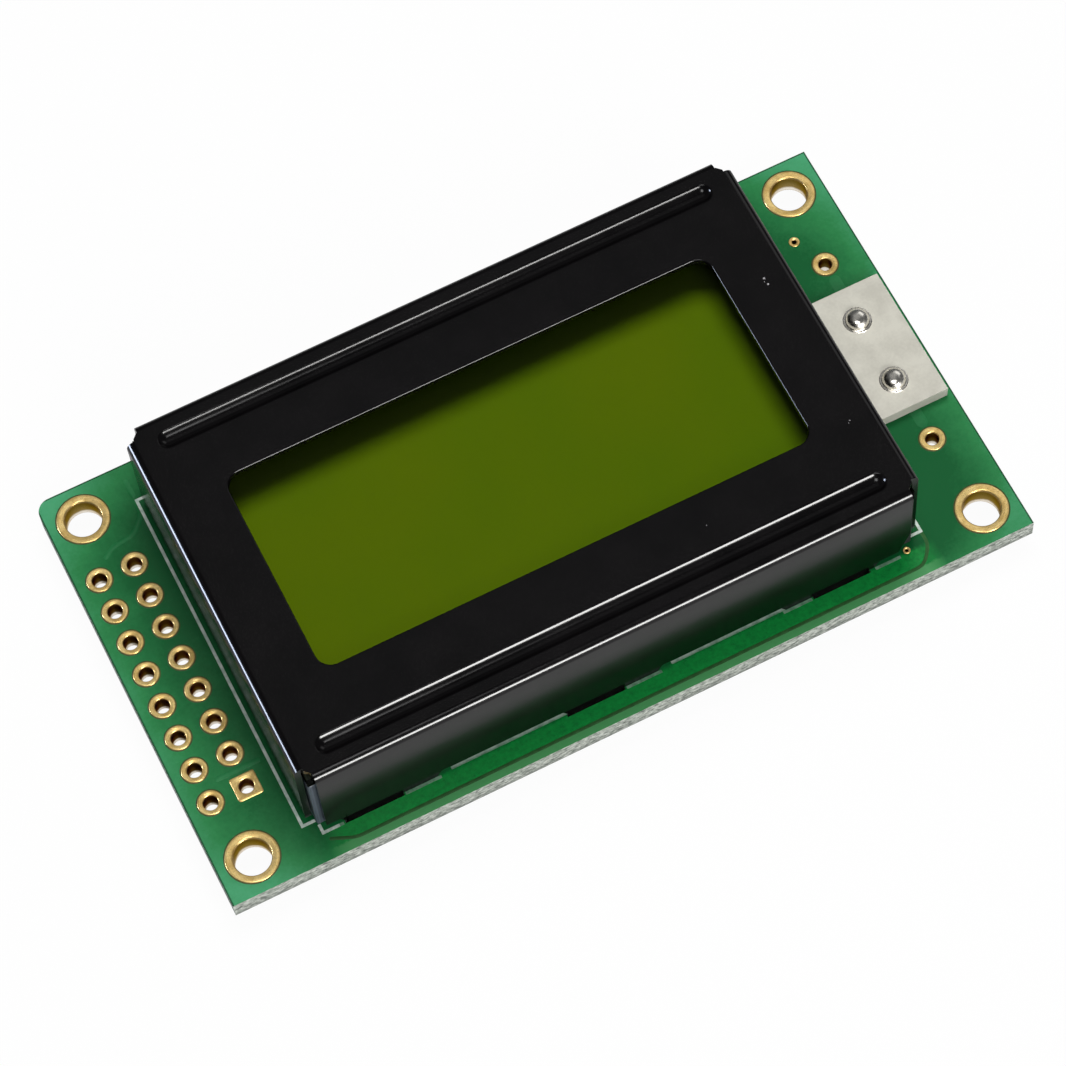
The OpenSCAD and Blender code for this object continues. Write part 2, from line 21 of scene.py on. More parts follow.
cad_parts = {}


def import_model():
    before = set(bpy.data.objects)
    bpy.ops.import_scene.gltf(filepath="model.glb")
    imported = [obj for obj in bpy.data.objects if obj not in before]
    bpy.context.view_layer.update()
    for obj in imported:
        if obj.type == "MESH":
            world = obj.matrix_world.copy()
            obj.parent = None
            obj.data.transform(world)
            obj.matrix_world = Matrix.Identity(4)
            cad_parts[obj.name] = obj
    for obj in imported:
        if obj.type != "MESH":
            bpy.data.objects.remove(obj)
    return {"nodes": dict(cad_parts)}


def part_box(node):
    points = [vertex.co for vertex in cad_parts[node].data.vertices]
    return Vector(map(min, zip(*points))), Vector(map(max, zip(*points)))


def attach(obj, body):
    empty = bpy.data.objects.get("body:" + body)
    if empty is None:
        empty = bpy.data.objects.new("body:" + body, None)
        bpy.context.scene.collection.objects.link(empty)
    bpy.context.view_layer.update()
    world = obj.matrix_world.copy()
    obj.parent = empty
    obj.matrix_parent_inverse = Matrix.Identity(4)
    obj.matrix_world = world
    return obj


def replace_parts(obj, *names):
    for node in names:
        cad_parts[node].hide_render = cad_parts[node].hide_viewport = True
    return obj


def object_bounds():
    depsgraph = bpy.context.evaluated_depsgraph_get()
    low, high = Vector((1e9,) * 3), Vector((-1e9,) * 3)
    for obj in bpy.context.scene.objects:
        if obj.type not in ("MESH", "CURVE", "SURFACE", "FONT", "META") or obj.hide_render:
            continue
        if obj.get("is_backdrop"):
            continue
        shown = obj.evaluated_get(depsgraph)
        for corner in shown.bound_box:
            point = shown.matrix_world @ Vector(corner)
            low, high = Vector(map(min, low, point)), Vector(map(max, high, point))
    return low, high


MM = 0.001
WELD = 1e-4
NOISE_SPAN = (0.3, 0.7)
ENDS = ("front", "back")
LOG = logging.getLogger("display_module")
Colour = tuple[float, float, float]
Pair = tuple[float, float]
Socket = bpy.types.NodeSocket
Node = bpy.types.Node
Material = bpy.types.Material
Object = bpy.types.Object


class Face(Enum):
    """The two faces of the circuit board, with the sign of their outward Z."""

    FRONT = 1.0
    BACK = -1.0


class LampUse(Enum):
    """Whether a lamp is felt as light or shown in gloss."""

    LIGHT = "light"
    GLOSS = "gloss"


class Side(Enum):
    """The two long sides of the bezel, with the sign of their outward Y."""

    NEAR = -1.0
    FAR = 1.0


# ---------------------------------------------------------------------------
# Meshes
# ---------------------------------------------------------------------------


def grid_faces(rows: int, cols: int, wrap: bool = False) -> np.ndarray:
    """Quads of a grid of points stored row by row.

    Args:
        rows: Points along the first direction.
        cols: Points along the second direction.
        wrap: Whether the last column joins the first.

    Returns:
        An array of quads, each with the four indices of its points.
    """
    i, j = np.meshgrid(np.arange(rows - 1), np.arange(cols if wrap else cols - 1), indexing="ij")
    here, beside = i * cols + j, i * cols + (j + 1) % cols
    return np.stack([here, beside, beside + cols, here + cols], -1).reshape(-1, 4)


class Sheet:
    """Points and quads that are collected patch by patch and then made one mesh."""

    def __init__(self) -> None:
        """Starts with no points."""
        self.points: list[np.ndarray] = []
        self.quads: list[np.ndarray] = []
        self.total = 0

    def add(self, points: np.ndarray, quads: np.ndarray) -> None:
        """Adds loose points with their quads.

        Args:
            points: The points, as an array of any shape by coordinates.
            quads: Quads that count from the first of them.
        """
        self.points.append(points.reshape(-1, points.shape[-1]))
        self.quads.append(quads + self.total)
        self.total += len(self.points[-1])

    def grid(self, points: np.ndarray, wrap: bool = False, keep: np.ndarray | None = None) -> None:
        """Adds a grid of points.

        Args:
            points: Array of rows by columns by coordinates.
            wrap: Whether the last column joins the first.
            keep: Which quads stay, as an array of rows by columns of quads.
        """
        rows, cols = points.shape[:2]
        quads = grid_faces(rows, cols, wrap)
        self.add(points, quads if keep is None else quads[keep.ravel()])

    def tube(self, points: np.ndarray) -> None:
        """Adds a grid that closes in both directions, like a ring's skin."""
        self.grid(np.concatenate([points, points[:1]], 0), wrap=True)

    def welded(self) -> tuple[np.ndarray, np.ndarray, np.ndarray]:
        """Joins the points that meet.

        Returns:
            The points, the true quads, and the triangles that some quads close up to.
        """
        points, quads = np.concatenate(self.points), np.concatenate(self.quads)
        key = np.round(points[:, :3] / WELD).astype(np.int64)
        _, first, inverse = np.unique(key, axis=0, return_index=True, return_inverse=True)
        quads = inverse.reshape(-1)[quads]
        same = quads == np.roll(quads, -1, axis=1)
        turn = np.argmax(same, axis=1)[:, None]
        corners = np.take_along_axis(quads, (turn + np.array([[1, 2, 3]])) % 4, axis=1)
        triangles = corners[same.sum(1) == 1]
        return points[first], quads[same.sum(1) == 0], triangles


def new_piece(name: str, points: np.ndarray, polygons: list, material: Material,
              sharp_deg: float = 35.0) -> Object:
    """Makes a closed mesh with outward faces that rides on the module.

    Args:
        name: Name of the piece.
        points: Points in millimetres.
        polygons: Lists of point indices, one for each face.
        material: Finish of the piece.
        sharp_deg: Edges that turn by more than this stay sharp.

    Returns:
        The new object.
    """
    mesh = bpy.data.meshes.new(name)
    mesh.from_pydata((points[:, :3] * MM).tolist(), [], polygons)
    work = bmesh.new()
    work.from_mesh(mesh)
    bmesh.ops.recalc_face_normals(work, faces=work.faces[:])
    work.to_mesh(mesh)
    work.free()
    mesh.polygons.foreach_set("use_smooth", np.ones(len(mesh.polygons), bool))
    mesh.set_sharp_from_angle(angle=math.radians(sharp_deg))
    mesh.materials.append(material)
    piece = bpy.data.objects.new(name, mesh)
    bpy.context.scene.collection.objects.link(piece)
    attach(piece, "root")
    LOG.info("%s: %d faces", name, len(mesh.polygons))
    return piece


def piece_from_sheet(name: str, sheet: Sheet, material: Material,
                     sharp_deg: float = 35.0) -> Object:
    """Welds a sheet and makes a piece of it, with the arguments of new_piece."""
    points, quads, triangles = sheet.welded()
    return new_piece(name, points, quads.tolist() + triangles.tolist(), material, sharp_deg)


def revolve(profile: np.ndarray, place: np.ndarray, turns: int) -> np.ndarray:
    """Turns a profile round a vertical axis: x = r cos a, y = r sin a, z = z.

    Args:
        profile: Array of (radius, height) pairs.
        place: The axis' place in the board's plane.
        turns: Points round the axis.

    Returns:
        Grid of profile points by turns by three coordinates.
    """
    a = np.linspace(0, 2 * np.pi, turns, endpoint=False)
    r, z = profile[:, :1], profile[:, 1:]
    return np.stack([place[0] + r * np.cos(a), place[1] + r * np.sin(a), z + 0 * a], -1)


def rounded(corners: list, radius: list, steps: int = 5) -> np.ndarray:
    """Rounds the corners of an open or closed path in a plane with arcs.

    Each corner is replaced by points on a quadratic curve between the two tangent points,
    which lie the given distance before and behind the corner.

    Args:
        corners: The path's corner points.
        radius: Distance of the tangent points from each corner, 0 for a sharp one.
        steps: Points on each rounded corner.

    Returns:
        The points of the rounded path.
    """
    p = np.asarray(corners, float)
    path = [p[:1]]
    for before, here, after, r in zip(p[:-2], p[1:-1], p[2:], radius[1:-1]):
        if r <= 0:
            path.append(here[None])
            continue
        a = here + (before - here) / np.linalg.norm(before - here) * r
        b = here + (after - here) / np.linalg.norm(after - here) * r
        t = np.linspace(0, 1, steps)[:, None]
        path.append((1 - t) ** 2 * a + 2 * t * (1 - t) * here + t**2 * b)
    path.append(p[-1:])
    return np.concatenate(path)


def ribbon(path: np.ndarray, width: float, height: float, base_z: float, up: float,
           sides: int = 9, spacing: float = 0.3, least: float = 0.01) -> np.ndarray:
    """Low ridge along a path, with a bell-shaped section and round ends.

    A section's points are n * w/2 * cos(a) across and h * sin(a)^1.5 up, and w shrinks to
    nothing over the last half width at both ends as a circle does.

    Args:
        path: Points in the board's plane.
        width: Width of the ridge.
        height: Height of the ridge.
        base_z: Height of the face that carries it.
        up: +1 or -1, the side to which it rises.
        sides: Points across the section.
        spacing: Distance of the sections, on a ridge narrower than that.
        least: Sections that lie closer than this are one.

    Returns:
        Grid of path points by section points, closed across.
    """
    lengths = np.linalg.norm(np.diff(path, axis=0), axis=1)
    s = np.concatenate([[0], np.cumsum(lengths)])
    cap = width / 2
    inner = np.arange(cap, s[-1] - cap, max(width, spacing))
    corners = s[(s > cap) & (s < s[-1] - cap)]
    ends = cap * (1 - np.cos(np.linspace(0, np.pi / 2, 5)))
    where = np.unique(np.concatenate([ends, inner, corners, s[-1] - ends]))
    where = where[np.concatenate([[True], np.diff(where) > least])]
    line = np.stack([np.interp(where, s, path[:, k]) for k in (0, 1)], -1)
    along = np.gradient(line, where, axis=0)
    along /= np.linalg.norm(along, axis=1)[:, None]
    across = np.stack([-along[:, 1], along[:, 0]], -1)
    near_end = np.minimum(1, np.minimum(where, s[-1] - where) / cap)
    full = np.sqrt(np.maximum(0, 1 - (1 - near_end) ** 2))[:, None]
    a = np.linspace(0, np.pi, sides)
    reach = full * width / 2 * np.cos(a)[None]
    flat = line[:, None] + across[:, None] * reach[..., None]
    z = base_z + up * height * full * np.abs(np.sin(a))[None] ** 1.5
    return np.concatenate([flat, z[..., None]], -1)


# ---------------------------------------------------------------------------
# Finishes
# ---------------------------------------------------------------------------


class NodeBoard:
    """Short calls for the nodes of one procedural material."""

    def __init__(self, name: str) -> None:
        """Makes an empty material with its output node and its place in millimetres.

        Args:
            name: Name of the material.
        """
        self.material = bpy.data.materials.new(name)
        self.material.use_nodes = True
        self.tree = self.material.node_tree
        self.tree.nodes.clear()
        self.output = self.tree.nodes.new("ShaderNodeOutputMaterial")
        where = self.tree.nodes.new("ShaderNodeTexCoord")
        self.place = self.node("ShaderNodeVectorMath", {"operation": "SCALE"},
                               {0: where.outputs["Object"], "Scale": 1 / MM}).outputs[0]

    def node(self, kind: str, settings: dict | None = None, inputs: dict | None = None) -> Node:
        """Adds a node.

        Args:
            kind: Blender's name of the node.
            settings: Properties of the node.
            inputs: Input name or number to a socket, which is linked, or a plain value.

        Returns:
            The node.
        """
        node = self.tree.nodes.new(kind)
        for key, value in (settings or {}).items():
            setattr(node, key, value)
        for key, value in (inputs or {}).items():
            if isinstance(value, Socket):
                self.tree.links.new(value, node.inputs[key])
            else:
                node.inputs[key].default_value = value
        return node

    def noise(self, scale: float, detail: float = 3.0, roughness: float = 0.55,
              stretch: Colour = (1.0, 1.0, 1.0)) -> Socket:
        """Adds cloudy noise.

        Args:
            scale: Features to a millimetre.
            detail: Number of finer layers.
            roughness: Weight of the finer layers.
            stretch: Factor of the scale along each axis.

        Returns:
            Its value, from 0 to 1.
        """
        vector = self.place
        if stretch != (1.0, 1.0, 1.0):
            vector = self.node("ShaderNodeVectorMath", {"operation": "MULTIPLY"},
                               {0: self.place, 1: stretch}).outputs[0]
        inputs = {"Vector": vector, "Scale": scale, "Detail": detail, "Roughness": roughness}
        return self.node("ShaderNodeTexNoise", None, inputs).outputs["Fac"]

    def ramp(self, value: Socket, stops: list[tuple[float, Colour]]) -> Socket:
        """Adds a run through several colours.

        Args:
            value: Value from 0 to 1.
            stops: Positions and their colours.

        Returns:
            The colour at the value.
        """
        node = self.node("ShaderNodeValToRGB", None, {"Fac": value})
        while len(node.color_ramp.elements) < len(stops):
            node.color_ramp.elements.new(0.5)
        for element, (position, colour) in zip(node.color_ramp.elements, stops):
            element.position = position
            element.color = (*colour, 1.0)
        return node.outputs["Color"]

    def spread(self, value: Socket, low: float, high: float, start: float = 0.0,
               end: float = 1.0) -> Socket:
        """Maps a value that runs from start to end onto the range from low to high."""
        inputs = {"Value": value, "From Min": start, "From Max": end, "To Min": low, "To Max": high}
        return self.node("ShaderNodeMapRange", None, inputs).outputs["Result"]

    def sway(self, noise: Socket, low: float, high: float) -> Socket:
        """Maps the span that a noise mostly keeps to onto the range from low to high."""
        return self.spread(noise, low, high, *NOISE_SPAN)

    def math(self, operation: str, first: object, second: object = 0.0) -> Socket:
        """One sum on two values or sockets."""
        inputs = {0: first, 1: second}
        return self.node("ShaderNodeMath", {"operation": operation}, inputs).outputs[0]

    def axis(self, name: str) -> Socket:
        """One coordinate of the place, in millimetres."""
        return self.node("ShaderNodeSeparateXYZ", None, {0: self.place}).outputs[name]

    def level(self, normal: str) -> Socket:
        """Tells how level the surface lies.

        Args:
            normal: Which of the geometry's normals counts.

        Returns:
            A value from 0 where the surface is upright to 1 where it is flat.
        """
        facing = self.node("ShaderNodeNewGeometry").outputs[normal]
        upright = self.node("ShaderNodeSeparateXYZ", None, {0: facing}).outputs["Z"]
        return self.math("ABSOLUTE", upright)

    def mix(self, share: Socket, first: object, second: object) -> Socket:
        """Mixes two colours.

        Args:
            share: Share of the second.
            first: Colour, as a socket or as red, green and blue.
            second: Colour, in the same way.

        Returns:
            The mixed colour.
        """
        def full(colour: object) -> object:
            """A colour with its alpha, or the socket as it is."""
            return colour if isinstance(colour, Socket) else (*colour, 1.0)

        return self.node("ShaderNodeMix", {"data_type": "RGBA"},
                         {0: share, 6: full(first), 7: full(second)}).outputs[2]

    def bump(self, height: Socket, depth: float, strength: float = 1.0,
             below: Socket | None = None) -> Socket:
        """Bumps a surface.

        Args:
            height: Height from 0 to 1.
            depth: Rise in millimetres where the height is 1.
            strength: Share of the bump that is felt.
            below: Normal that it is laid over.

        Returns:
            The bumped normal.
        """
        inputs = {"Height": height, "Distance": depth * MM, "Strength": strength}
        if below is not None:
            inputs["Normal"] = below
        return self.node("ShaderNodeBump", None, inputs).outputs["Normal"]

    def surface(self, colour: object, roughness: object, normal: Socket | None = None,
                **others: object) -> Node:
        """Adds the principled shader.

        Args:
            colour: Base colour, as a socket or as red, green and blue.
            roughness: Roughness, as a socket or a number.
            normal: Bumped normal.
            **others: Other inputs, with underscores for the spaces in their names.

        Returns:
            The shader's node.
        """
        plain = not isinstance(colour, Socket)
        inputs = {"Base Color": (*colour, 1.0) if plain else colour, "Roughness": roughness}
        inputs |= {name.replace("_", " "): value for name, value in others.items()}
        if normal is not None:
            inputs["Normal"] = normal
        return self.node("ShaderNodeBsdfPrincipled", None, inputs)

    def blended(self, share: Socket, first: Node, second: Node) -> Node:
        """Mix of two shaders, with the second where the share is 1."""
        inputs = {0: share, 1: first.outputs[0], 2: second.outputs[0]}
        return self.node("ShaderNodeMixShader", None, inputs)

    def done(self, shader: Node) -> Material:
        """Links the last shader to the output and returns the material."""
        self.tree.links.new(shader.outputs[0], self.output.inputs["Surface"])
        return self.material


class Finish(Protocol):
    """What every finish offers."""

    @property
    def name(self) -> str:
        """Name of the material."""

    def make(self) -> Material:
        """Returns the material."""


@dataclass(frozen=True)
class BlackSteel:
    """Satin black coat on folded steel, with a faint orange peel."""

    name: str = "black_steel"
    dark: Colour = (0.0014, 0.0012, 0.0014)
    light: Colour = (0.0030, 0.0025, 0.0028)
    roughness: Pair = (0.13, 0.21)
    grain_depth: float = 0.0012
    peel_depth: float = 0.012

    def make(self) -> Material:
        """Makes the material.

        Returns:
            The material.
        """
        b = NodeBoard(self.name)
        cloud = b.noise(0.35, 4)
        grain = b.noise(14, 2)
        colour = b.ramp(cloud, [(0.3, self.dark), (0.7, self.light)])
        both = b.math("ADD", cloud, b.math("MULTIPLY", grain, 0.5))
        rough = b.spread(both, *self.roughness, 0.3, 1.1)
        peel = b.bump(b.noise(0.5, 2), self.peel_depth, 0.5)
        normal = b.bump(grain, self.grain_depth, 0.6, peel)
        return b.done(b.surface(colour, rough, normal, Specular_IOR_Level=0.22))


@dataclass(frozen=True)
class SolderMask:
    """Glossy green mask in three tones, and bare laminate on the cut edges.

    The mask's green carries painted shade: it is darkest close to the bezel and lighter towards
    the board's corners. The strip before the front wall, between two ends and as far as the pour's
    own edge, is brighter: partly a copper pour under the mask, partly painted light. A dark line
    follows the left, right and back edges. The mask runs over the small bevels there, but not at
    the front edge. The bare edge has a pale break with dark fibre ends in it and turns darker
    towards the bottom, and inside the board's slots and holes it has painted shade.
    """

    name: str = "mask_green"
    # The three tones are the mask's green with painted shade: darkest by the bezel, lightest at the
    # corners.
    shade_tone: Colour = (0.0035, 0.086, 0.022)
    middle: Colour = (0.018, 0.178, 0.052)
    light: Colour = (0.056, 0.305, 0.140)
    # Brighter green of the strip before the front wall: partly a copper pour, partly painted light.
    strip: Colour = (0.007, 0.300, 0.050)
    rim: Colour = (0.085, 0.310, 0.115)
    line: Colour = (0.004, 0.040, 0.014)
    pale: Colour = (0.44, 0.48, 0.42)
    fibre: Colour = (0.15, 0.17, 0.15)
    bright: Colour = (0.74, 0.77, 0.71)
    # Painted shade of the laminate inside the board's slots and holes.
    hollow_shade: Colour = (0.030, 0.050, 0.018)
    middle_at: float = 0.42
    middle_x: float = -0.3
    # Rectangle of full painted shade round the bezel, and the distances over which that shade
    # fades.
    shade_rect: Pair = (20.5, 8.5)
    drift: Pair = (2.6, 10.0)
    shade_fade_power: float = 2.1
    slope: float = 1.5
    slope_span: Pair = (20.0, 45.0)
    slope_loss: float = 0.26
    pour_middle_x: float = 0.35
    pour_ends: Pair = (20.9, 22.3)
    wall_y: Pair = (-13.9, -14.2)
    rim_y: Pair = (-15.3, -15.45)
    half: Pair = (29.0, 16.0)
    line_from: Pair = (-0.12, -0.08)
    outer: Pair = (28.9, 15.9)
    outer_sum: float = 44.3
    coated_from_y: float = -15.7
    flat_level: float = 0.97
    bevel_level: float = 0.5
    edges: bool = True

    def unshaded_share(self, b: NodeBoard) -> Socket:
        """Works out the share of the light tone, which has no painted shade.

        It is 0 inside a rectangle round the bezel, where the painted shade is full, and 1 at the
        board's corners. With d the distance beyond the rectangle, it is ((d - d0) / (d1 - d0)) ^ p,
        less a part that grows towards the front right corner and darkens it there.

        Args:
            b: The material's node board.

        Returns:
            The share.
        """
        from_middle = b.math("SUBTRACT", b.axis("X"), self.middle_x)
        x = b.math("SUBTRACT", b.math("ABSOLUTE", from_middle), self.shade_rect[0])
        y = b.math("SUBTRACT", b.math("ABSOLUTE", b.axis("Y")), self.shade_rect[1])
        x, y = (b.math("MAXIMUM", v, 0.0) for v in (x, y))
        far = b.math("SQRT", b.math("ADD", b.math("MULTIPLY", x, x), b.math("MULTIPLY", y, y)))
        share = b.math("POWER", b.spread(far, 0.0, 1.0, *self.drift), self.shade_fade_power)
        slope = b.math("SUBTRACT", b.axis("X"), b.math("MULTIPLY", b.axis("Y"), self.slope))
        return b.math("SUBTRACT", share, b.spread(slope, 0.0, self.slope_loss, *self.slope_span))

    def with_pour(self, b: NodeBoard, mask: Socket, mottle: Socket) -> Socket:
        """Lays the pour's strip before the front wall, brightened partly with painted light, and
        the rim beyond it, over the mask.

        Args:
            b: The material's node board.
            mask: Colour of the mask.
            mottle: Noise that breaks up the strip.

        Returns:
            The colour.
        """
        y = b.math("ADD", b.axis("Y"), b.sway(mottle, -0.06, 0.06))
        # The strip's green is partly painted light.
        strip = b.mix(b.spread(mottle, 0.0, 0.5, 0.35, 0.7), self.strip, self.shade_tone)
        away = b.math("ABSOLUTE", b.math("SUBTRACT", b.axis("X"), self.pour_middle_x))
        pour = b.spread(away, 1.0, 0.0, *self.pour_ends)
        inner = b.math("MULTIPLY", pour, b.spread(y, 0.0, 0.85, *self.wall_y))
        outer = b.math("MULTIPLY", pour, b.spread(y, 0.0, 0.8, *self.rim_y))
        return b.mix(outer, b.mix(inner, mask, strip), self.rim)

    def face(self, b: NodeBoard) -> Node:
        """Makes the shader of the masked faces.

        Args:
            b: The material's node board.

        Returns:
            The shader.
        """
        cloud = b.noise(0.16, 3)
        mottle = b.noise(4.0, 3)
        # Painted shade: the light tone's share grows away from the bezel.
        share = b.math("ADD", self.unshaded_share(b), b.sway(cloud, -0.14, 0.14))
        share = b.math("ADD", share, b.sway(mottle, -0.05, 0.05))
        tones = [(0.0, self.shade_tone), (self.middle_at, self.middle), (1.0, self.light)]
        mask = self.with_pour(b, b.ramp(share, tones), mottle)
        past_end = b.math("SUBTRACT", b.math("ABSOLUTE", b.axis("X")), self.half[0])
        past_edge = b.math("MAXIMUM", past_end, b.math("SUBTRACT", b.axis("Y"), self.half[1]))
        mask = b.mix(b.spread(past_edge, 0.0, 0.85, *self.line_from), mask, self.line)
        weave = b.bump(b.noise(1.6, 2), 0.008, 0.3)
        peel = b.bump(b.noise(8.0, 2), 0.0015, 0.4, weave)
        return b.surface(mask, b.spread(cloud, 0.16, 0.26), peel, Specular_IOR_Level=0.16)

    def cut_edge(self, b: NodeBoard) -> Node:
        """Makes the shader of the bare laminate, with painted shade inside the board's slots and
        holes.

        Args:
            b: The material's node board.

        Returns:
            The shader.
        """
        chips = b.noise(3.0, 5, 0.7, (1.0, 1.0, 1.6))
        strands = b.noise(1.3, 3, 0.6, (1.5, 1.0, 3.0))
        broken = b.math("MULTIPLY", chips, b.sway(strands, 0.65, 1.3))
        raw = b.ramp(broken, [(0.32, self.fibre), (0.47, self.pale), (0.68, self.bright)])
        height = b.math("ADD", b.axis("Z"), b.sway(strands, -0.35, 0.35))
        raw = b.mix(b.spread(height, 0.55, 0.0, 0.15, 0.75), raw, self.fibre)
        x, y = (b.math("ABSOLUTE", b.axis(name)) for name in "XY")
        outside = b.math("MAXIMUM", b.math("GREATER_THAN", x, self.outer[0]),
                         b.math("GREATER_THAN", y, self.outer[1]))
        corner = b.math("GREATER_THAN", b.math("ADD", x, y), self.outer_sum)
        # Painted shade inside the slots and holes.
        raw = b.mix(b.math("MAXIMUM", outside, corner), self.hollow_shade, raw)
        return b.surface(raw, 0.75, b.bump(chips, 0.08, 0.9), Specular_IOR_Level=0.3)

    def make(self) -> Material:
        """Makes the material, which has bare edges if the piece shows any.

        Returns:
            The material.
        """
        b = NodeBoard(self.name)
        coat = self.face(b)
        if not self.edges:
            return b.done(coat)
        level = b.level("True Normal")
        bevel = b.math("MULTIPLY", b.math("GREATER_THAN", level, self.bevel_level),
                       b.math("GREATER_THAN", b.axis("Y"), self.coated_from_y))
        coated = b.math("MAXIMUM", b.math("GREATER_THAN", level, self.flat_level), bevel)
        return b.done(b.blended(coated, self.cut_edge(b), coat))


@dataclass(frozen=True)
class GoldPlating:
    """Satin gold on the rings, and a dark, dull barrel inside the holes, with painted shade and
    light.

    The barrel's colour goes with the height: pale at its far end, a painted light that stands for
    the floor's light mirrored there, then a middle tone, and dark at the top, a painted shade.
    Where a ring turns into its hole it is a deeper gold, a painted shade of the sloping lip.
    """

    name: str = "gold_plating"
    tint: Colour = (0.82, 0.61, 0.25)
    shade: Colour = (0.62, 0.42, 0.14)
    # Painted shade at the top of the barrel and painted light at its far end.
    barrel: Colour = (0.110, 0.080, 0.018)
    middle: Colour = (0.270, 0.200, 0.085)
    far_end_light: Colour = (0.96, 0.93, 0.87)
    # Painted shade where the ring slopes into its hole.
    funnel_shade: Colour = (0.40, 0.25, 0.09)
    edge_tint: tuple[float, float, float, float] = (0.55, 0.42, 0.24, 1.0)
    metallic: float = 0.5
    pale_z: tuple[float, float, float] = (0.30, 0.55, 1.35)

    def make(self) -> Material:
        """Makes the material.

        Returns:
            The material.
        """
        b = NodeBoard(self.name)
        cloud = b.noise(1.5, 3)
        fine = b.noise(16, 2)
        colour = b.ramp(cloud, [(0.36, self.shade), (0.64, self.tint)])
        level = b.level("Normal")
        # Painted shade on the sloping lip.
        colour = b.mix(b.spread(level, 1.0, 0.0, 0.45, 0.9), colour, self.funnel_shade)
        wall = b.spread(level, 1.0, 0.0, 0.02, 0.4)
        # Painted light at the barrel's far end and painted shade at its top, by height.
        low, mid, high = self.pale_z
        height = b.math("ADD", b.axis("Z"), b.sway(cloud, -0.06, 0.06))
        inside = b.mix(b.spread(height, 0.0, 1.0, mid, high), self.middle, self.barrel)
        inside = b.mix(b.spread(height, 1.0, 0.0, low, mid), inside, self.far_end_light)
        colour = b.mix(wall, colour, inside)
        rough = b.sway(fine, 0.24, 0.40)
        normal = b.bump(fine, 0.003, 0.5, b.bump(cloud, 0.012, 0.5))
        metallic = b.spread(wall, self.metallic, 1.0)
        return b.done(b.surface(colour, rough, normal, Specular_IOR_Level=0.3,
                                Specular_Tint=self.edge_tint, Metallic=metallic))


@dataclass(frozen=True)
class PlainMetal:
    """Metal with soft clouds in its tint and fine unevenness in its gloss."""

    name: str
    tint: Colour
    shade: Colour
    roughness: float
    scale: float = 2.0
    dent: float = 0.01

    def make(self) -> Material:
        """Makes the material.

        Returns:
            The material.
        """
        b = NodeBoard(self.name)
        cloud = b.noise(self.scale, 3)
        fine = b.noise(self.scale * 9, 2)
        colour = b.ramp(cloud, [(0.35, self.shade), (0.65, self.tint)])
        rough = b.sway(fine, self.roughness * 0.7, self.roughness * 1.4)
        normal = b.bump(fine, self.dent * 0.3, 0.5, b.bump(cloud, self.dent, 0.6))
        return b.done(b.surface(colour, rough, normal, Metallic=1.0))


@dataclass(frozen=True)
class Moulded:
    """Non-metal with a cloudy colour, specks and a grained skin."""

    name: str
    light: Colour
    dark: Colour
    roughness: float
    scale: float = 1.0
    grain: float = 8.0
    depth: float = 0.01
    gloss: float = 0.4

    def make(self) -> Material:
        """Makes the material.

        Returns:
            The material.
        """
        b = NodeBoard(self.name)
        cloud = b.noise(self.scale, 4)
        speck = b.noise(self.grain, 3)
        share = b.math("ADD", b.math("MULTIPLY", cloud, 0.7), b.math("MULTIPLY", speck, 0.3))
        colour = b.ramp(share, [(0.36, self.dark), (0.62, self.light)])
        rough = b.sway(speck, self.roughness * 0.85, min(1.0, self.roughness * 1.2))
        normal = b.bump(speck, self.depth, 0.7)
        return b.done(b.surface(colour, rough, normal, Specular_IOR_Level=self.gloss))


@dataclass(frozen=True)
class PrintInk:
    """Pale ink, which turns darker and greener before the front wall."""

    name: str = "print_ink"
    light: Colour = (0.60, 0.67, 0.61)
    dark: Colour = (0.34, 0.45, 0.38)
    # Darker, greener tones of the ink before the front wall.
    front_ink_light: Colour = (0.17, 0.31, 0.21)
    front_ink_dark: Colour = (0.07, 0.18, 0.10)
    front_ink_y: Pair = (-14.0, -13.7)
    front_ink_half_l: float = 20.6

    def make(self) -> Material:
        """Makes the material.

        Returns:
            The material.
        """
        b = NodeBoard(self.name)
        cloud = b.noise(2.2, 4)
        speck = b.noise(11, 3)
        full = b.ramp(cloud, [(0.36, self.dark), (0.62, self.light)])
        # The ink's darker, greener tone before the front wall.
        thin = b.ramp(cloud, [(0.36, self.front_ink_dark), (0.62, self.front_ink_light)])
        front = b.spread(b.axis("Y"), 1.0, 0.0, *self.front_ink_y)
        inner = b.math("LESS_THAN", b.math("ABSOLUTE", b.axis("X")), self.front_ink_half_l)
        colour = b.mix(b.math("MULTIPLY", front, inner), full, thin)
        rough = b.sway(speck, 0.6, 0.84)
        return b.done(b.surface(colour, rough, b.bump(speck, 0.006, 0.7), Specular_IOR_Level=0.2))


@dataclass(frozen=True)
class LayeredRubber:
    """Silicone strip of thin dark and light layers that stand across its length.

    Its right end is painted nearly black, a painted shade for the dark behind the wall's slanting
    cut.
    """

    name: str = "strip_rubber"
    dark: Colour = (0.030, 0.040, 0.055)
    light: Colour = (0.085, 0.110, 0.145)
    # Painted shade at the strip's right end.
    shade_tone: Colour = (0.004, 0.004, 0.004)
    pitch: float = 0.18
    shade_x: Pair = (14.0, 18.0)

    def make(self) -> Material:
        """Makes the material.

        Returns:
            The material.
        """
        b = NodeBoard(self.name)
        wave = b.math("SINE", b.math("MULTIPLY", b.axis("X"), 2 * math.pi / self.pitch))
        band = b.spread(wave, 0.0, 1.0, -0.3, 0.3)
        cloud = b.noise(1.5, 3)
        colour = b.mix(b.math("MULTIPLY", band, cloud), self.light, self.dark)
        colour = b.mix(b.spread(b.axis("X"), 0.0, 0.93, *self.shade_x), colour, self.shade_tone)
        rough, normal = b.spread(cloud, 0.45, 0.62), b.bump(b.noise(9, 2), 0.006, 0.6)
        return b.done(b.surface(colour, rough, normal, Specular_IOR_Level=0.4))


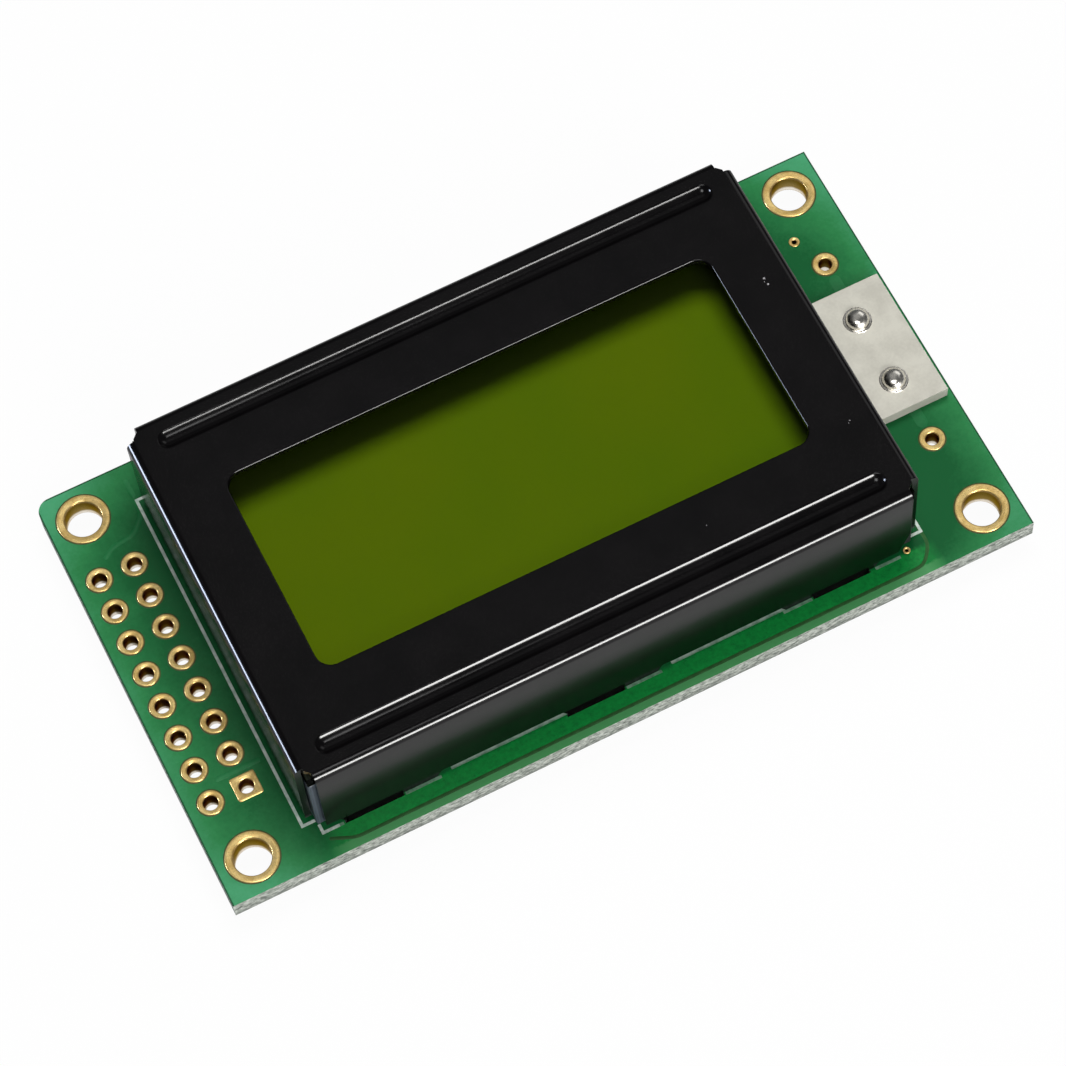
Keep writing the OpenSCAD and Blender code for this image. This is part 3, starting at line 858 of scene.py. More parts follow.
@dataclass(frozen=True)
class ChipBody:
    """Ceramic chip part whose two ends are tinned, told apart by their distance from its middle."""

    name: str
    body: Colour
    shade: Colour
    middle_x: float
    bare_from: float
    tin: Colour = (0.74, 0.74, 0.75)
    tin_shade: Colour = (0.52, 0.52, 0.53)

    def make(self) -> Material:
        """Makes the material.

        Returns:
            The material.
        """
        b = NodeBoard(self.name)
        speck = b.noise(7, 3)
        colour = b.ramp(speck, [(0.38, self.shade), (0.62, self.body)])
        body = b.surface(colour, b.spread(speck, 0.35, 0.5), b.bump(speck, 0.006, 0.6))
        tinned = b.ramp(speck, [(0.35, self.tin_shade), (0.65, self.tin)])
        dents = b.bump(speck, 0.012, 0.7)
        tin = b.surface(tinned, b.spread(speck, 0.22, 0.38), dents, Metallic=1.0)
        away = b.math("ABSOLUTE", b.math("SUBTRACT", b.axis("X"), self.middle_x))
        return b.done(b.blended(b.math("GREATER_THAN", away, self.bare_from), body, tin))


@dataclass(frozen=True)
class CellColour:
    """Olive layer of the switched-off cell, with a very slow drift of its colour."""

    name: str = "rear_film"
    left: Colour = (0.150, 0.222, 0.003)
    right: Colour = (0.122, 0.212, 0.003)
    grain: Colour = (0.08, 0.13, 0.003)

    def make(self) -> Material:
        """Makes the material.

        Returns:
            The material.
        """
        b = NodeBoard(self.name)
        drift = b.noise(0.06, 2)
        fine = b.noise(22, 2)
        colour = b.mix(b.spread(drift, 0.0, 1.0, 0.35, 0.65), self.left, self.right)
        colour = b.mix(b.spread(fine, 0.0, 0.12), colour, self.grain)
        return b.done(b.surface(colour, 0.6, b.bump(fine, 0.002, 0.4), Specular_IOR_Level=0.1))


@dataclass(frozen=True)
class ClearPane:
    """Clear laminate: light goes straight through, less of it the flatter it comes in."""

    name: str = "front_film"
    tint: Colour = (0.92, 0.94, 0.75)
    flat_tint: Colour = (0.05, 0.055, 0.035)
    gloss: float = 0.06

    def make(self) -> Material:
        """Makes the material.

        Returns:
            The material.
        """
        b = NodeBoard(self.name)
        slant = b.node("ShaderNodeLayerWeight", None, {"Blend": 0.5}).outputs["Facing"]
        tint = b.ramp(slant, [(0.13, self.tint), (0.32, self.flat_tint)])
        through = b.node("ShaderNodeBsdfTransparent", None, {"Color": tint})
        haze = b.noise(3.0, 3)
        gloss = b.node("ShaderNodeBsdfGlossy", None, {
            "Color": (1.0, 1.0, 1.0, 1.0), "Roughness": b.spread(haze, 0.05, 0.12),
            "Normal": b.bump(haze, 0.001, 0.3)})
        fresnel = b.node("ShaderNodeFresnel", None, {"IOR": 1.45}).outputs[0]
        return b.done(b.blended(b.math("MULTIPLY", fresnel, self.gloss), through, gloss))


class Palette:
    """Makes each finish once and hands it out by name."""

    def __init__(self) -> None:
        """Starts with no finish made."""
        self.made: dict[str, Material] = {}

    def of(self, finish: Finish) -> Material:
        """Hands out a finish, which is made at its first use.

        Args:
            finish: The finish.

        Returns:
            Its material.
        """
        if finish.name not in self.made:
            self.made[finish.name] = finish.make()
        return self.made[finish.name]


BLACK_STEEL = BlackSteel()
CHIPPED = Moulded("coat_chip", (0.34, 0.33, 0.34), (0.16, 0.15, 0.16), 0.4,
                  scale=6.0, grain=18.0, depth=0.002)
MASK = SolderMask()
RAISED_MASK = SolderMask("mask_green_raised", shade_tone=(0.010, 0.112, 0.034),
                         middle=(0.028, 0.196, 0.066), light=(0.062, 0.308, 0.142), edges=False)
# Dark green of the low line at the copper pour's edge: painted shade of the pour's step.
SHADED_EDGE_MASK = Moulded("mask_green_shaded_edge", (0.030, 0.115, 0.030), (0.020, 0.080, 0.020), 0.35,
                    scale=2.0, grain=9.0, depth=0.002, gloss=0.2)
BARE = Moulded("bare_laminate", (0.055, 0.075, 0.020), (0.020, 0.040, 0.012), 0.6,
               scale=3.0, grain=9.0, gloss=0.3)
INK = PrintInk()
GOLD = GoldPlating()
# The narrow holes' barrels carry more painted shade.
NARROW_GOLD = GoldPlating("gold_plating_narrow", barrel=(0.042, 0.031, 0.010),
                          middle=(0.125, 0.100, 0.050), edge_tint=(0.30, 0.21, 0.10, 1.0),
                          pale_z=(0.30, 0.48, 1.15))
SOLDER = PlainMetal("solder", (0.90, 0.87, 0.80), (0.66, 0.63, 0.57), 0.24, scale=0.25, dent=0.004)
WIRE = PlainMetal("tinned_wire", (0.75, 0.75, 0.74), (0.58, 0.58, 0.58), 0.25)
TAB = Moulded("tab_board", (0.56, 0.545, 0.475), (0.47, 0.455, 0.395), 0.62,
              scale=0.7, grain=5.0, depth=0.012, gloss=0.3)
WHITE = Moulded("white_moulding", (0.86, 0.86, 0.84), (0.76, 0.76, 0.73), 0.45,
                scale=0.7, grain=6.0, depth=0.006)
DIFFUSER = Moulded("diffuser", (0.72, 0.78, 0.48), (0.62, 0.68, 0.38), 0.4,
                   scale=0.5, grain=4.0, depth=0.004)
DIES = Moulded("light_dies", (0.82, 0.76, 0.30), (0.60, 0.54, 0.18), 0.25,
               scale=4.0, grain=12.0, depth=0.004)
RESIN = Moulded("black_resin", (0.016, 0.015, 0.016), (0.008, 0.008, 0.008), 0.32,
                scale=0.6, grain=3.5, depth=0.02, gloss=0.5)
STRIP = LayeredRubber()


# ---------------------------------------------------------------------------
# The module's sub-assemblies
# ---------------------------------------------------------------------------


def node_box(node: str) -> tuple[np.ndarray, np.ndarray]:
    """Lowest and highest corner of a frame node, in millimetres."""
    low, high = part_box(node)
    return np.array(low) / MM, np.array(high) / MM


def node_middle(node: str) -> np.ndarray:
    """Middle of a frame node's box, in millimetres."""
    low, high = node_box(node)
    return (low + high) / 2


@dataclass
class Frame:
    """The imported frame, its finishes and the board's thickness."""

    nodes: dict[str, Object]
    palette: Palette
    flat_deg: float = 1.0
    sharp_deg: float = 40.0
    soft_steps: int = 3
    board_t: float = field(init=False)

    def __post_init__(self) -> None:
        """Reads the board's thickness off the frame."""
        self.board_t = float(node_box("circuit_board")[1][2])

    def face_z(self, face: Face) -> float:
        """Height of one of the board's faces."""
        return self.board_t if face is Face.FRONT else 0.0

    def dress(self, node: str, finish: Finish, soften: float = 0.0) -> None:
        """Gives a frame node its finish.

        Args:
            node: Name of the node.
            finish: The finish.
            soften: Width of the small rounding of its edges, 0 for none.
        """
        part = self.nodes[node]
        part.data.materials.clear()
        part.data.materials.append(self.palette.of(finish))
        if soften > 0:
            weld = part.modifiers.new("weld", "WELD")
            weld.merge_threshold = WELD * MM
            flat = part.modifiers.new("flat", "DECIMATE")
            flat.decimate_type = "DISSOLVE"
            flat.angle_limit = math.radians(self.flat_deg)
            edge = part.modifiers.new("edge", "BEVEL")
            edge.width = soften * MM
            edge.segments = self.soft_steps
            edge.limit_method = "ANGLE"
            edge.angle_limit = math.radians(self.sharp_deg)
        LOG.info("%s wears %s", node, finish.name)


@dataclass
class Bezel:
    """Folded steel bezel: a plate with two pressed grooves and a window, and four walls.

    A point of the sheet has six coordinates, its place outside and its place inside.
    """

    frame: Frame
    sheet_t: float = 0.45
    bend_r: float = 0.6
    notch_x: float = 1.0
    notch_y: float = 1.1
    plate_bevel: float = 0.35
    wall_lift: float = 0.6
    end_cut_w: float = 0.8
    end_cut_h: float = 2.1
    border_x: float = 4.6
    border_y: float = 6.4
    window_y: float = 0.2
    window_r: float = 1.1
    window_bevel: float = 0.1
    groove_inset: float = 1.95
    groove_end: float = 1.9
    groove_r: float = 0.80
    groove_d: float = 0.35
    groove_margin: float = 0.02
    shoulder_r: float = 0.15
    foot_l: float = 6.4
    foot_ease: float = 0.5
    foot_left: float = 5.55
    foot_right: float = 6.85
    tab_l: float = 4.12
    tab_shift: float = 1.25
    tab_shift_right: float = 0.8
    tab_reach: float = 2.6
    lug_w: float = 9.9
    lug_y: float = -0.17
    lug_gap: float = 0.12
    lug_ease: float = 0.03
    edge_round: float = 0.05
    edge_steps: int = 2
    window_margin: float = 0.3
    bend_steps: int = 13
    rim_steps: int = 6
    corner_steps: int = 7
    wall_rows: int = 7
    tab_rows: int = 5
    foot_lines: int = 6
    cut_lines: int = 5
    groove_end_lines: int = 20
    groove_lines: int = 36
    plain_lines: tuple[int, int] = (40, 26)
    plain_inset: Pair = (1.6, 1.2)
    plain_gap: float = 0.35

    def __post_init__(self) -> None:
        """Works out the places that follow from the sizes and the frame."""
        low, high = node_box("bezel")
        self.left, self.right = float(low[0]), float(high[0])
        self.half_w, self.top = float(high[1]), float(high[2])
        self.half_l = (self.right - self.left) / 2
        self.mid_x = (self.left + self.right) / 2
        self.window_half = (self.half_l - self.border_x, self.half_w - self.border_y)
        self.foot_z = self.frame.board_t
        self.wall_z = self.foot_z + self.wall_lift
        self.groove_y = self.half_w - self.groove_inset
        rise = self.groove_r - self.groove_d
        reach = self.groove_r + self.shoulder_r
        self.groove_half_w = math.sqrt(reach**2 - (rise + self.shoulder_r) ** 2)
        self.groove_turn = self.groove_half_w * self.groove_r / reach
        feet = (self.left + self.foot_left, self.right - self.foot_right)
        self.feet = (feet[0], (feet[0] + feet[1]) / 2, feet[1])
        self.tabs = (self.feet[0] - self.tab_shift, self.feet[1] - self.tab_shift,
                     self.feet[2] + self.tab_shift_right)
        self.lug_z = float(node_box("light_board")[1][2]) + self.lug_gap
        reach = self.lug_w / 2 + self.lug_gap
        self.lug_span = (self.lug_y - reach, self.lug_y + reach)

    def groove_depth(self, x: np.ndarray, y: np.ndarray) -> np.ndarray:
        """Depth of the two pressed grooves below the plate's face.

        With d the distance from a groove's middle line, the depth is that of a circular arc up to
        the turning point, of a smaller arc that bends the other way on the shoulder, and then 0.

        Args:
            x: Places along the bezel.
            y: Places across it.

        Returns:
            The depths, as an array like x and y.
        """
        start = self.left + self.groove_end + self.groove_half_w
        end = self.right - self.groove_end - self.groove_half_w
        past_end = np.maximum(0, np.maximum(start - x, x - end))
        d = np.hypot(past_end, np.abs(np.abs(y) - self.groove_y))
        arc = self.groove_d - self.groove_r + np.sqrt(np.maximum(0, self.groove_r**2 - d**2))
        back = self.groove_half_w - d
        shoulder = self.shoulder_r - np.sqrt(np.maximum(0, self.shoulder_r**2 - back**2))
        beside = np.where(d < self.groove_half_w, shoulder, 0.0)
        return np.where(d < self.groove_turn, arc, beside)

    def corner_lines(self) -> np.ndarray:
        """Distances from the window's edge of the grid lines through its rounded corners."""
        return np.linspace(0, 1, self.corner_steps) * (self.window_r + self.window_bevel)

    def lines_x(self) -> np.ndarray:
        """Places the grid lines along X.

        They are dense at the grooves' ends, the feet, the window's corners and the cut.

        Returns:
            The sorted lines.
        """
        ease = np.linspace(0, self.foot_ease, self.foot_lines)
        turn = np.linspace(-self.groove_margin, self.groove_half_w + self.groove_margin,
                           self.groove_end_lines)
        corner = self.corner_lines()
        hole = (self.left + self.border_x - self.window_bevel,
                self.right - self.border_x + self.window_bevel)
        feet = [f + s * (self.foot_l / 2 + ease) for f in self.feet for s in (-1, 1)]
        tabs = [t + s * self.tab_l / 2 for t in self.tabs for s in (-1, 1)]
        grooves = [self.left + self.groove_end + self.groove_half_w - turn,
                   self.right - self.groove_end - self.groove_half_w + turn]
        ends = [self.left + self.bend_r, self.left + self.bend_r + self.plate_bevel,
                self.left + self.notch_x, self.right - self.notch_x,
                self.right - self.bend_r - self.plate_bevel, self.right - self.bend_r]
        cut = self.right - self.notch_x - np.linspace(0, self.end_cut_w, self.cut_lines)
        inset = self.plain_inset[0]
        plain = np.linspace(self.left + inset, self.right - inset, self.plain_lines[0])
        lines = np.concatenate([*feet, tabs, *grooves, ends, cut, hole[0] + corner,
                                hole[1] - corner])
        return self.thinned(lines, plain, self.left + self.bend_r, self.right - self.bend_r)

    def lines_y(self) -> np.ndarray:
        """Places the grid lines along Y, dense across the grooves and at the window's corners.

        Returns:
            The sorted lines.
        """
        across = np.linspace(-self.groove_half_w, self.groove_half_w, self.groove_lines)
        corner = self.corner_lines()
        half = self.window_half[1] + self.window_bevel
        ends = [self.half_w - self.bend_r, self.half_w - self.bend_r - self.plate_bevel,
                self.half_w - self.notch_y]
        lug = [self.lug_span[0], self.lug_span[0] + self.lug_ease,
               self.lug_span[1] - self.lug_ease, self.lug_span[1]]
        lines = np.concatenate([
            self.groove_y + across, -self.groove_y - across, ends, [-e for e in ends],
            self.window_y + half - corner, self.window_y - half + corner, lug])
        inset = self.plain_inset[1]
        plain = np.linspace(-self.half_w + inset, self.half_w - inset, self.plain_lines[1])
        return self.thinned(lines, plain, self.bend_r - self.half_w, self.half_w - self.bend_r)

    def thinned(self, lines: np.ndarray, plain: np.ndarray, low: float,
                high: float) -> np.ndarray:
        """Joins needed lines with evenly spread ones that stay clear of them.

        Args:
            lines: Lines that have to be there.
            plain: Evenly spread lines, kept only where no needed line is near.
            low: First line.
            high: Last line.

        Returns:
            The sorted lines from low to high.
        """
        lines = np.unique(np.round(np.concatenate([lines, [low, high]]), 5))
        lines = lines[(lines >= low - WELD) & (lines <= high + WELD)]
        far = np.abs(plain[:, None] - lines[None]).min(1) > self.plain_gap
        return np.unique(np.concatenate([lines, plain[far]]))

    @staticmethod
    def with_inner(outer: np.ndarray, inner: np.ndarray) -> np.ndarray:
        """Six coordinates to a point: its place outside and inside the sheet."""
        return np.concatenate([outer, inner], -1)

    def plate(self, sheet: Sheet, xs: np.ndarray, ys: np.ndarray) -> None:
        """Adds the flat front with its grooves, its window and its four bevelled corners.

        Args:
            sheet: Where it goes.
            xs: Grid lines along X.
            ys: Grid lines along Y.
        """
        x, y = np.meshgrid(xs, ys, indexing="ij")
        z = self.top - self.groove_depth(x, y)
        outer, inner = np.stack([x, y, z], -1), np.stack([x, y, z - self.sheet_t], -1)
        points = self.with_inner(outer, inner)
        middle_x, middle_y = (xs[:-1] + xs[1:]) / 2, (ys[:-1] + ys[1:]) / 2
        half_x, half_y = (half + self.window_bevel for half in self.window_half)
        in_x = np.abs(middle_x - self.mid_x) < half_x
        in_y = np.abs(middle_y - self.window_y) < half_y
        keep = ~(in_x[:, None] & in_y[None])
        keep[[0, 0, -1, -1], [0, -1, 0, -1]] = False
        sheet.grid(points, keep=keep)
        rows, cols = points.shape[:2]
        index = np.arange(rows * cols).reshape(rows, cols)
        for a, b, c in (((0, 1), (1, 1), (1, 0)), ((0, -2), (1, -2), (1, -1)),
                        ((-1, 1), (-2, 1), (-2, 0)), ((-1, -2), (-2, -2), (-2, -1))):
            sheet.add(points, np.array([[index[a], index[b], index[c], index[c]]]))
        self.window_rim(sheet, xs, ys, np.array([half_x, half_y]))

    def window_rim(self, sheet: Sheet, xs: np.ndarray, ys: np.ndarray, half: np.ndarray) -> None:
        """Adds the window's rounded corners and the rounded edge that runs round it.

        The rim's outline is a rectangle with quarter circles at its corners.

        Args:
            sheet: Where they go.
            xs: The plate's grid lines along X.
            ys: The plate's grid lines along Y.
            half: Half the rectangle's length and width.
        """
        r, reach = self.window_r + self.window_bevel, self.window_bevel
        centre = np.array([self.mid_x, self.window_y])
        along_x, along_y = np.array([1.0, 0.0]), np.array([0.0, 1.0])
        for sx in (-1.0, 1.0):
            for sy in (-1.0, 1.0):
                sign = np.array([sx, sy])
                corner = centre + sign * half
                a = np.linspace(0, np.pi / 2, 2 * self.corner_steps - 1)
                turn = sign * np.stack([np.cos(a), np.sin(a)], -1)
                arc = corner - sign * r + r * turn
                k = np.linspace(0, 1, self.corner_steps)[:, None] * r
                legs = np.concatenate([corner - sign * along_y * (r - k),
                                       corner - sign * along_x * k[1:]])
                self.add_flat(sheet, np.stack([legs, arc], 0), np.array([self.top, self.top]))
                self.add_rim(sheet, arc, -turn, reach)
        straight_x = xs[np.abs(xs - centre[0]) <= half[0] - r + WELD]
        straight_y = ys[np.abs(ys - centre[1]) <= half[1] - r + WELD]
        for s in (-1.0, 1.0):
            edge = np.stack([straight_x, np.full(len(straight_x), centre[1] + s * half[1])], -1)
            self.add_rim(sheet, edge, np.broadcast_to(-s * along_y, edge.shape), reach)
            edge = np.stack([np.full(len(straight_y), centre[0] + s * half[0]), straight_y], -1)
            self.add_rim(sheet, edge, np.broadcast_to(-s * along_x, edge.shape), reach)

    def add_rim(self, sheet: Sheet, edge: np.ndarray, inward: np.ndarray, reach: float) -> None:
        """Adds the rounded edge: a quarter circle that leads from the plate into the window.

        Args:
            sheet: Where it goes.
            edge: Points where the rounding starts.
            inward: Direction into the window at each point.
            reach: Radius of the quarter circle.
        """
        t = np.linspace(0, np.pi / 2, self.rim_steps)
        flat = edge[None] + inward[None] * (reach * np.sin(t))[:, None, None]
        self.add_flat(sheet, flat, self.top - reach * (1 - np.cos(t)))

    def add_flat(self, sheet: Sheet, flat: np.ndarray, z: np.ndarray) -> None:
        """Adds a strip of the plate, whose inside is level.

        Args:
            sheet: Where it goes.
            flat: Rows of points in the plane.
            z: Height of the outside for each row.
        """
        heights = np.broadcast_to(z[:, None, None], (*flat.shape[:2], 1))
        outer = np.concatenate([flat, heights], -1)
        inner = outer.copy()
        inner[..., 2] = self.top - self.sheet_t
        sheet.grid(self.with_inner(outer, inner))

    def folded_wall(self, along: np.ndarray, foot: np.ndarray) -> tuple[np.ndarray, np.ndarray]:
        """Section points of a wall: round the bend and then straight down to its lower edge.

        Args:
            along: Places along the wall.
            foot: Height of the wall's lower edge at each place.

        Returns:
            Two arrays of rows by places by (reach beyond the plate, height): outside and inside.
        """
        a = np.linspace(0, np.pi / 2, self.bend_steps)[:, None]
        start = self.top - self.bend_r
        t = np.linspace(0, 1, self.wall_rows)[1:, None]
        down = start + t * (foot[None] - start)
        blank = np.ones((1, len(along)))

        def section(r: float) -> np.ndarray:
            """Section at bend radius r: reach = r sin a and height = start + r cos a."""
            bend = np.stack([r * np.sin(a) * blank, start + r * np.cos(a) * blank], -1)
            wall = np.stack([np.full_like(down, r), down], -1)
            return np.concatenate([bend, wall])

        return section(self.bend_r), section(self.bend_r - self.sheet_t)

    def long_wall(self, sheet: Sheet, xs: np.ndarray, side: Side) -> None:
        """Adds a long wall with its feet, its slanting cut and its folded tabs.

        With v from 0 on a foot to 1 where the wall is free, its edge rises as v^2 * (3 - 2 v).

        Args:
            sheet: Where it goes.
            xs: The plate's grid lines along X.
            side: Which of the two walls it is.
        """
        start, end = self.left + self.notch_x, self.right - self.notch_x
        along = xs[(xs >= start - WELD) & (xs <= end + WELD)]
        away = np.min([np.abs(along - f) for f in self.feet], axis=0) - self.foot_l / 2
        lift = np.clip(away / self.foot_ease, 0, 1)
        lift = self.wall_lift * lift**2 * (3 - 2 * lift)
        cut = np.clip(1 - (end - along) / self.end_cut_w, 0, 1)
        outer, inner = self.folded_wall(along, self.foot_z + lift + cut * self.end_cut_h)
        base = self.half_w - self.bend_r

        def placed(section: np.ndarray) -> np.ndarray:
            """A section's points put on this side of the bezel."""
            x = np.broadcast_to(along[None], section.shape[:2])
            return np.stack([x, side.value * (base + section[..., 0]), section[..., 1]], -1)

        sheet.grid(self.with_inner(placed(outer), placed(inner)))
        for middle in self.tabs:
            self.tab(sheet, along[np.abs(along - middle) <= self.tab_l / 2 + WELD], side)

    def tab(self, sheet: Sheet, along: np.ndarray, side: Side) -> None:
        """Adds one tab: down through its slot, round a quarter bend and in behind the board.

        Args:
            sheet: Where it goes.
            along: Places along the tab.
            side: The wall that it belongs to.
        """
        a = np.linspace(0, np.pi / 2, self.bend_steps)[1:]
        turn_z = self.bend_r - self.sheet_t
        centre_y = self.half_w - self.bend_r
        flat = np.linspace(0, self.tab_reach - self.bend_r, self.tab_rows)[1:]

        def section(r: float) -> np.ndarray:
            """Section with y = centre + r cos a and z = turn - r sin a, then level inward."""
            down = [[centre_y + r, z] for z in (self.foot_z, self.foot_z / 2, turn_z)]
            bend = np.stack([centre_y + r * np.cos(a), turn_z - r * np.sin(a)], -1)
            level = np.stack([centre_y - flat, np.full_like(flat, turn_z - r)], -1)
            return np.concatenate([np.array(down), bend, level])

        rows = []
        for profile in (section(self.bend_r), section(self.bend_r - self.sheet_t)):
            x = np.broadcast_to(along[None], (len(profile), len(along)))
            y = np.broadcast_to(side.value * profile[:, :1], x.shape)
            rows.append(np.stack([x, y, np.broadcast_to(profile[:, 1:], x.shape)], -1))
        sheet.grid(self.with_inner(*rows))

    def short_wall(self, sheet: Sheet, ys: np.ndarray, sign: float) -> None:
        """Adds the left or the right wall, of which the right one has the gap for the lug.

        Args:
            sheet: Where it goes.
            ys: The plate's grid lines along Y.
            sign: -1 for the left wall and 1 for the right one.
        """
        along = ys[np.abs(ys) <= self.half_w - self.notch_y + WELD]
        foot = np.full(len(along), self.wall_z)
        if sign > 0:
            gap = (along > self.lug_span[0] + WELD) & (along < self.lug_span[1] - WELD)
            foot = np.where(gap, self.lug_z, foot)
        outer, inner = self.folded_wall(along, foot)
        base = self.half_l - self.bend_r

        def placed(section: np.ndarray) -> np.ndarray:
            """A section's points put on this end of the bezel."""
            y = np.broadcast_to(along[None], section.shape[:2])
            return np.stack([self.mid_x + sign * (base + section[..., 0]), y, section[..., 1]], -1)

        sheet.grid(self.with_inner(placed(outer), placed(inner)))

    def build(self) -> None:
        """Makes the whole sheet with its thickness and its rounded edges.

        The outside and the inside are joined by a narrow face along each edge that only one
        face of the outside has.
        """
        sheet = Sheet()
        xs, ys = self.lines_x(), self.lines_y()
        self.plate(sheet, xs, ys)
        for side in Side:
            self.long_wall(sheet, xs, side)
        for sign in (-1.0, 1.0):
            self.short_wall(sheet, ys, sign)
        points, quads, triangles = sheet.welded()
        count = len(points)
        triangles = triangles[np.all(triangles != np.roll(triangles, 1, axis=1), axis=1)]
        edges = np.concatenate([np.stack([p, np.roll(p, -1, axis=1)], -1).reshape(-1, 2)
                                for p in (quads, triangles)])
        key = np.sort(edges, axis=1)
        _, where, uses = np.unique(key, axis=0, return_inverse=True, return_counts=True)
        rim = edges[uses[where.reshape(-1)] == 1]
        walls = np.stack([rim[:, 1], rim[:, 0], rim[:, 0] + count, rim[:, 1] + count], -1)
        polygons = (quads.tolist() + triangles.tolist() + (quads[:, ::-1] + count).tolist()
                    + (triangles[:, ::-1] + count).tolist() + walls.tolist())
        both = np.concatenate([points[:, :3], points[:, 3:]])
        steel = self.frame.palette.of(BLACK_STEEL)
        piece = new_piece("bezel_shell", both, polygons, steel)
        self.round_edges(piece, rim, points)
        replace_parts(piece, "bezel")

    def round_edges(self, piece: Object, rim: np.ndarray, points: np.ndarray) -> None:
        """Rounds the cut edges outside the window a little.

        Args:
            piece: The bezel.
            rim: Pairs of indices of the points along the sheet's cut edges.
            points: The sheet's points.
        """
        near_x, near_y = (half + self.window_margin for half in self.window_half)
        inside = ((np.abs(points[:, 0] - self.mid_x) < near_x)
                  & (np.abs(points[:, 1] - self.window_y) < near_y))
        cut = rim[~(inside[rim[:, 0]] & inside[rim[:, 1]])]
        wanted = np.unique(np.sort(cut, axis=1), axis=0)
        mesh = piece.data
        ends = np.zeros(2 * len(mesh.edges), np.int64)
        mesh.edges.foreach_get("vertices", ends)
        ends = np.sort(ends.reshape(-1, 2), axis=1)
        size = len(mesh.vertices)
        weight = np.isin(ends[:, 0] * size + ends[:, 1], wanted[:, 0] * size + wanted[:, 1])
        layer = mesh.attributes.new("bevel_weight_edge", "FLOAT", "EDGE")
        layer.data.foreach_set("value", weight.astype(np.float32))
        edge = piece.modifiers.new("edge", "BEVEL")
        edge.limit_method = "WEIGHT"
        edge.width = self.edge_round * MM
        edge.segments = self.edge_steps


@dataclass
class CoatChips:
    """Tiny chips in the black coat near the right end of the bezel."""

    frame: Frame
    spots: tuple[tuple[float, float, float], ...] = (
        (19.80, 4.45, 0.085), (19.83, 3.95, 0.075), (19.70, 4.22, 0.035), (19.78, -7.35, 0.045),
        (19.64, -7.48, 0.03), (8.2, -9.7, 0.03))
    height: float = 0.012
    root: float = 0.01
    rows: int = 5
    turns: int = 12

    def build(self) -> None:
        """Makes every chip as a low dome: z = h * cos(t), r = R * sin(t)."""
        top = float(node_box("bezel")[1][2])
        t = np.linspace(0, np.pi / 2, self.rows)
        sheet = Sheet()
        for x, y, r in self.spots:
            dome = np.stack([r * np.sin(t), self.height * np.cos(t)], -1)
            section = np.concatenate([dome, [[r, -self.root], [0.0, -self.root]]]) + [0, top]
            sheet.grid(revolve(section, np.array([x, y]), self.turns), wrap=True)
        piece_from_sheet("coat_chips", sheet, self.frame.palette.of(CHIPPED))


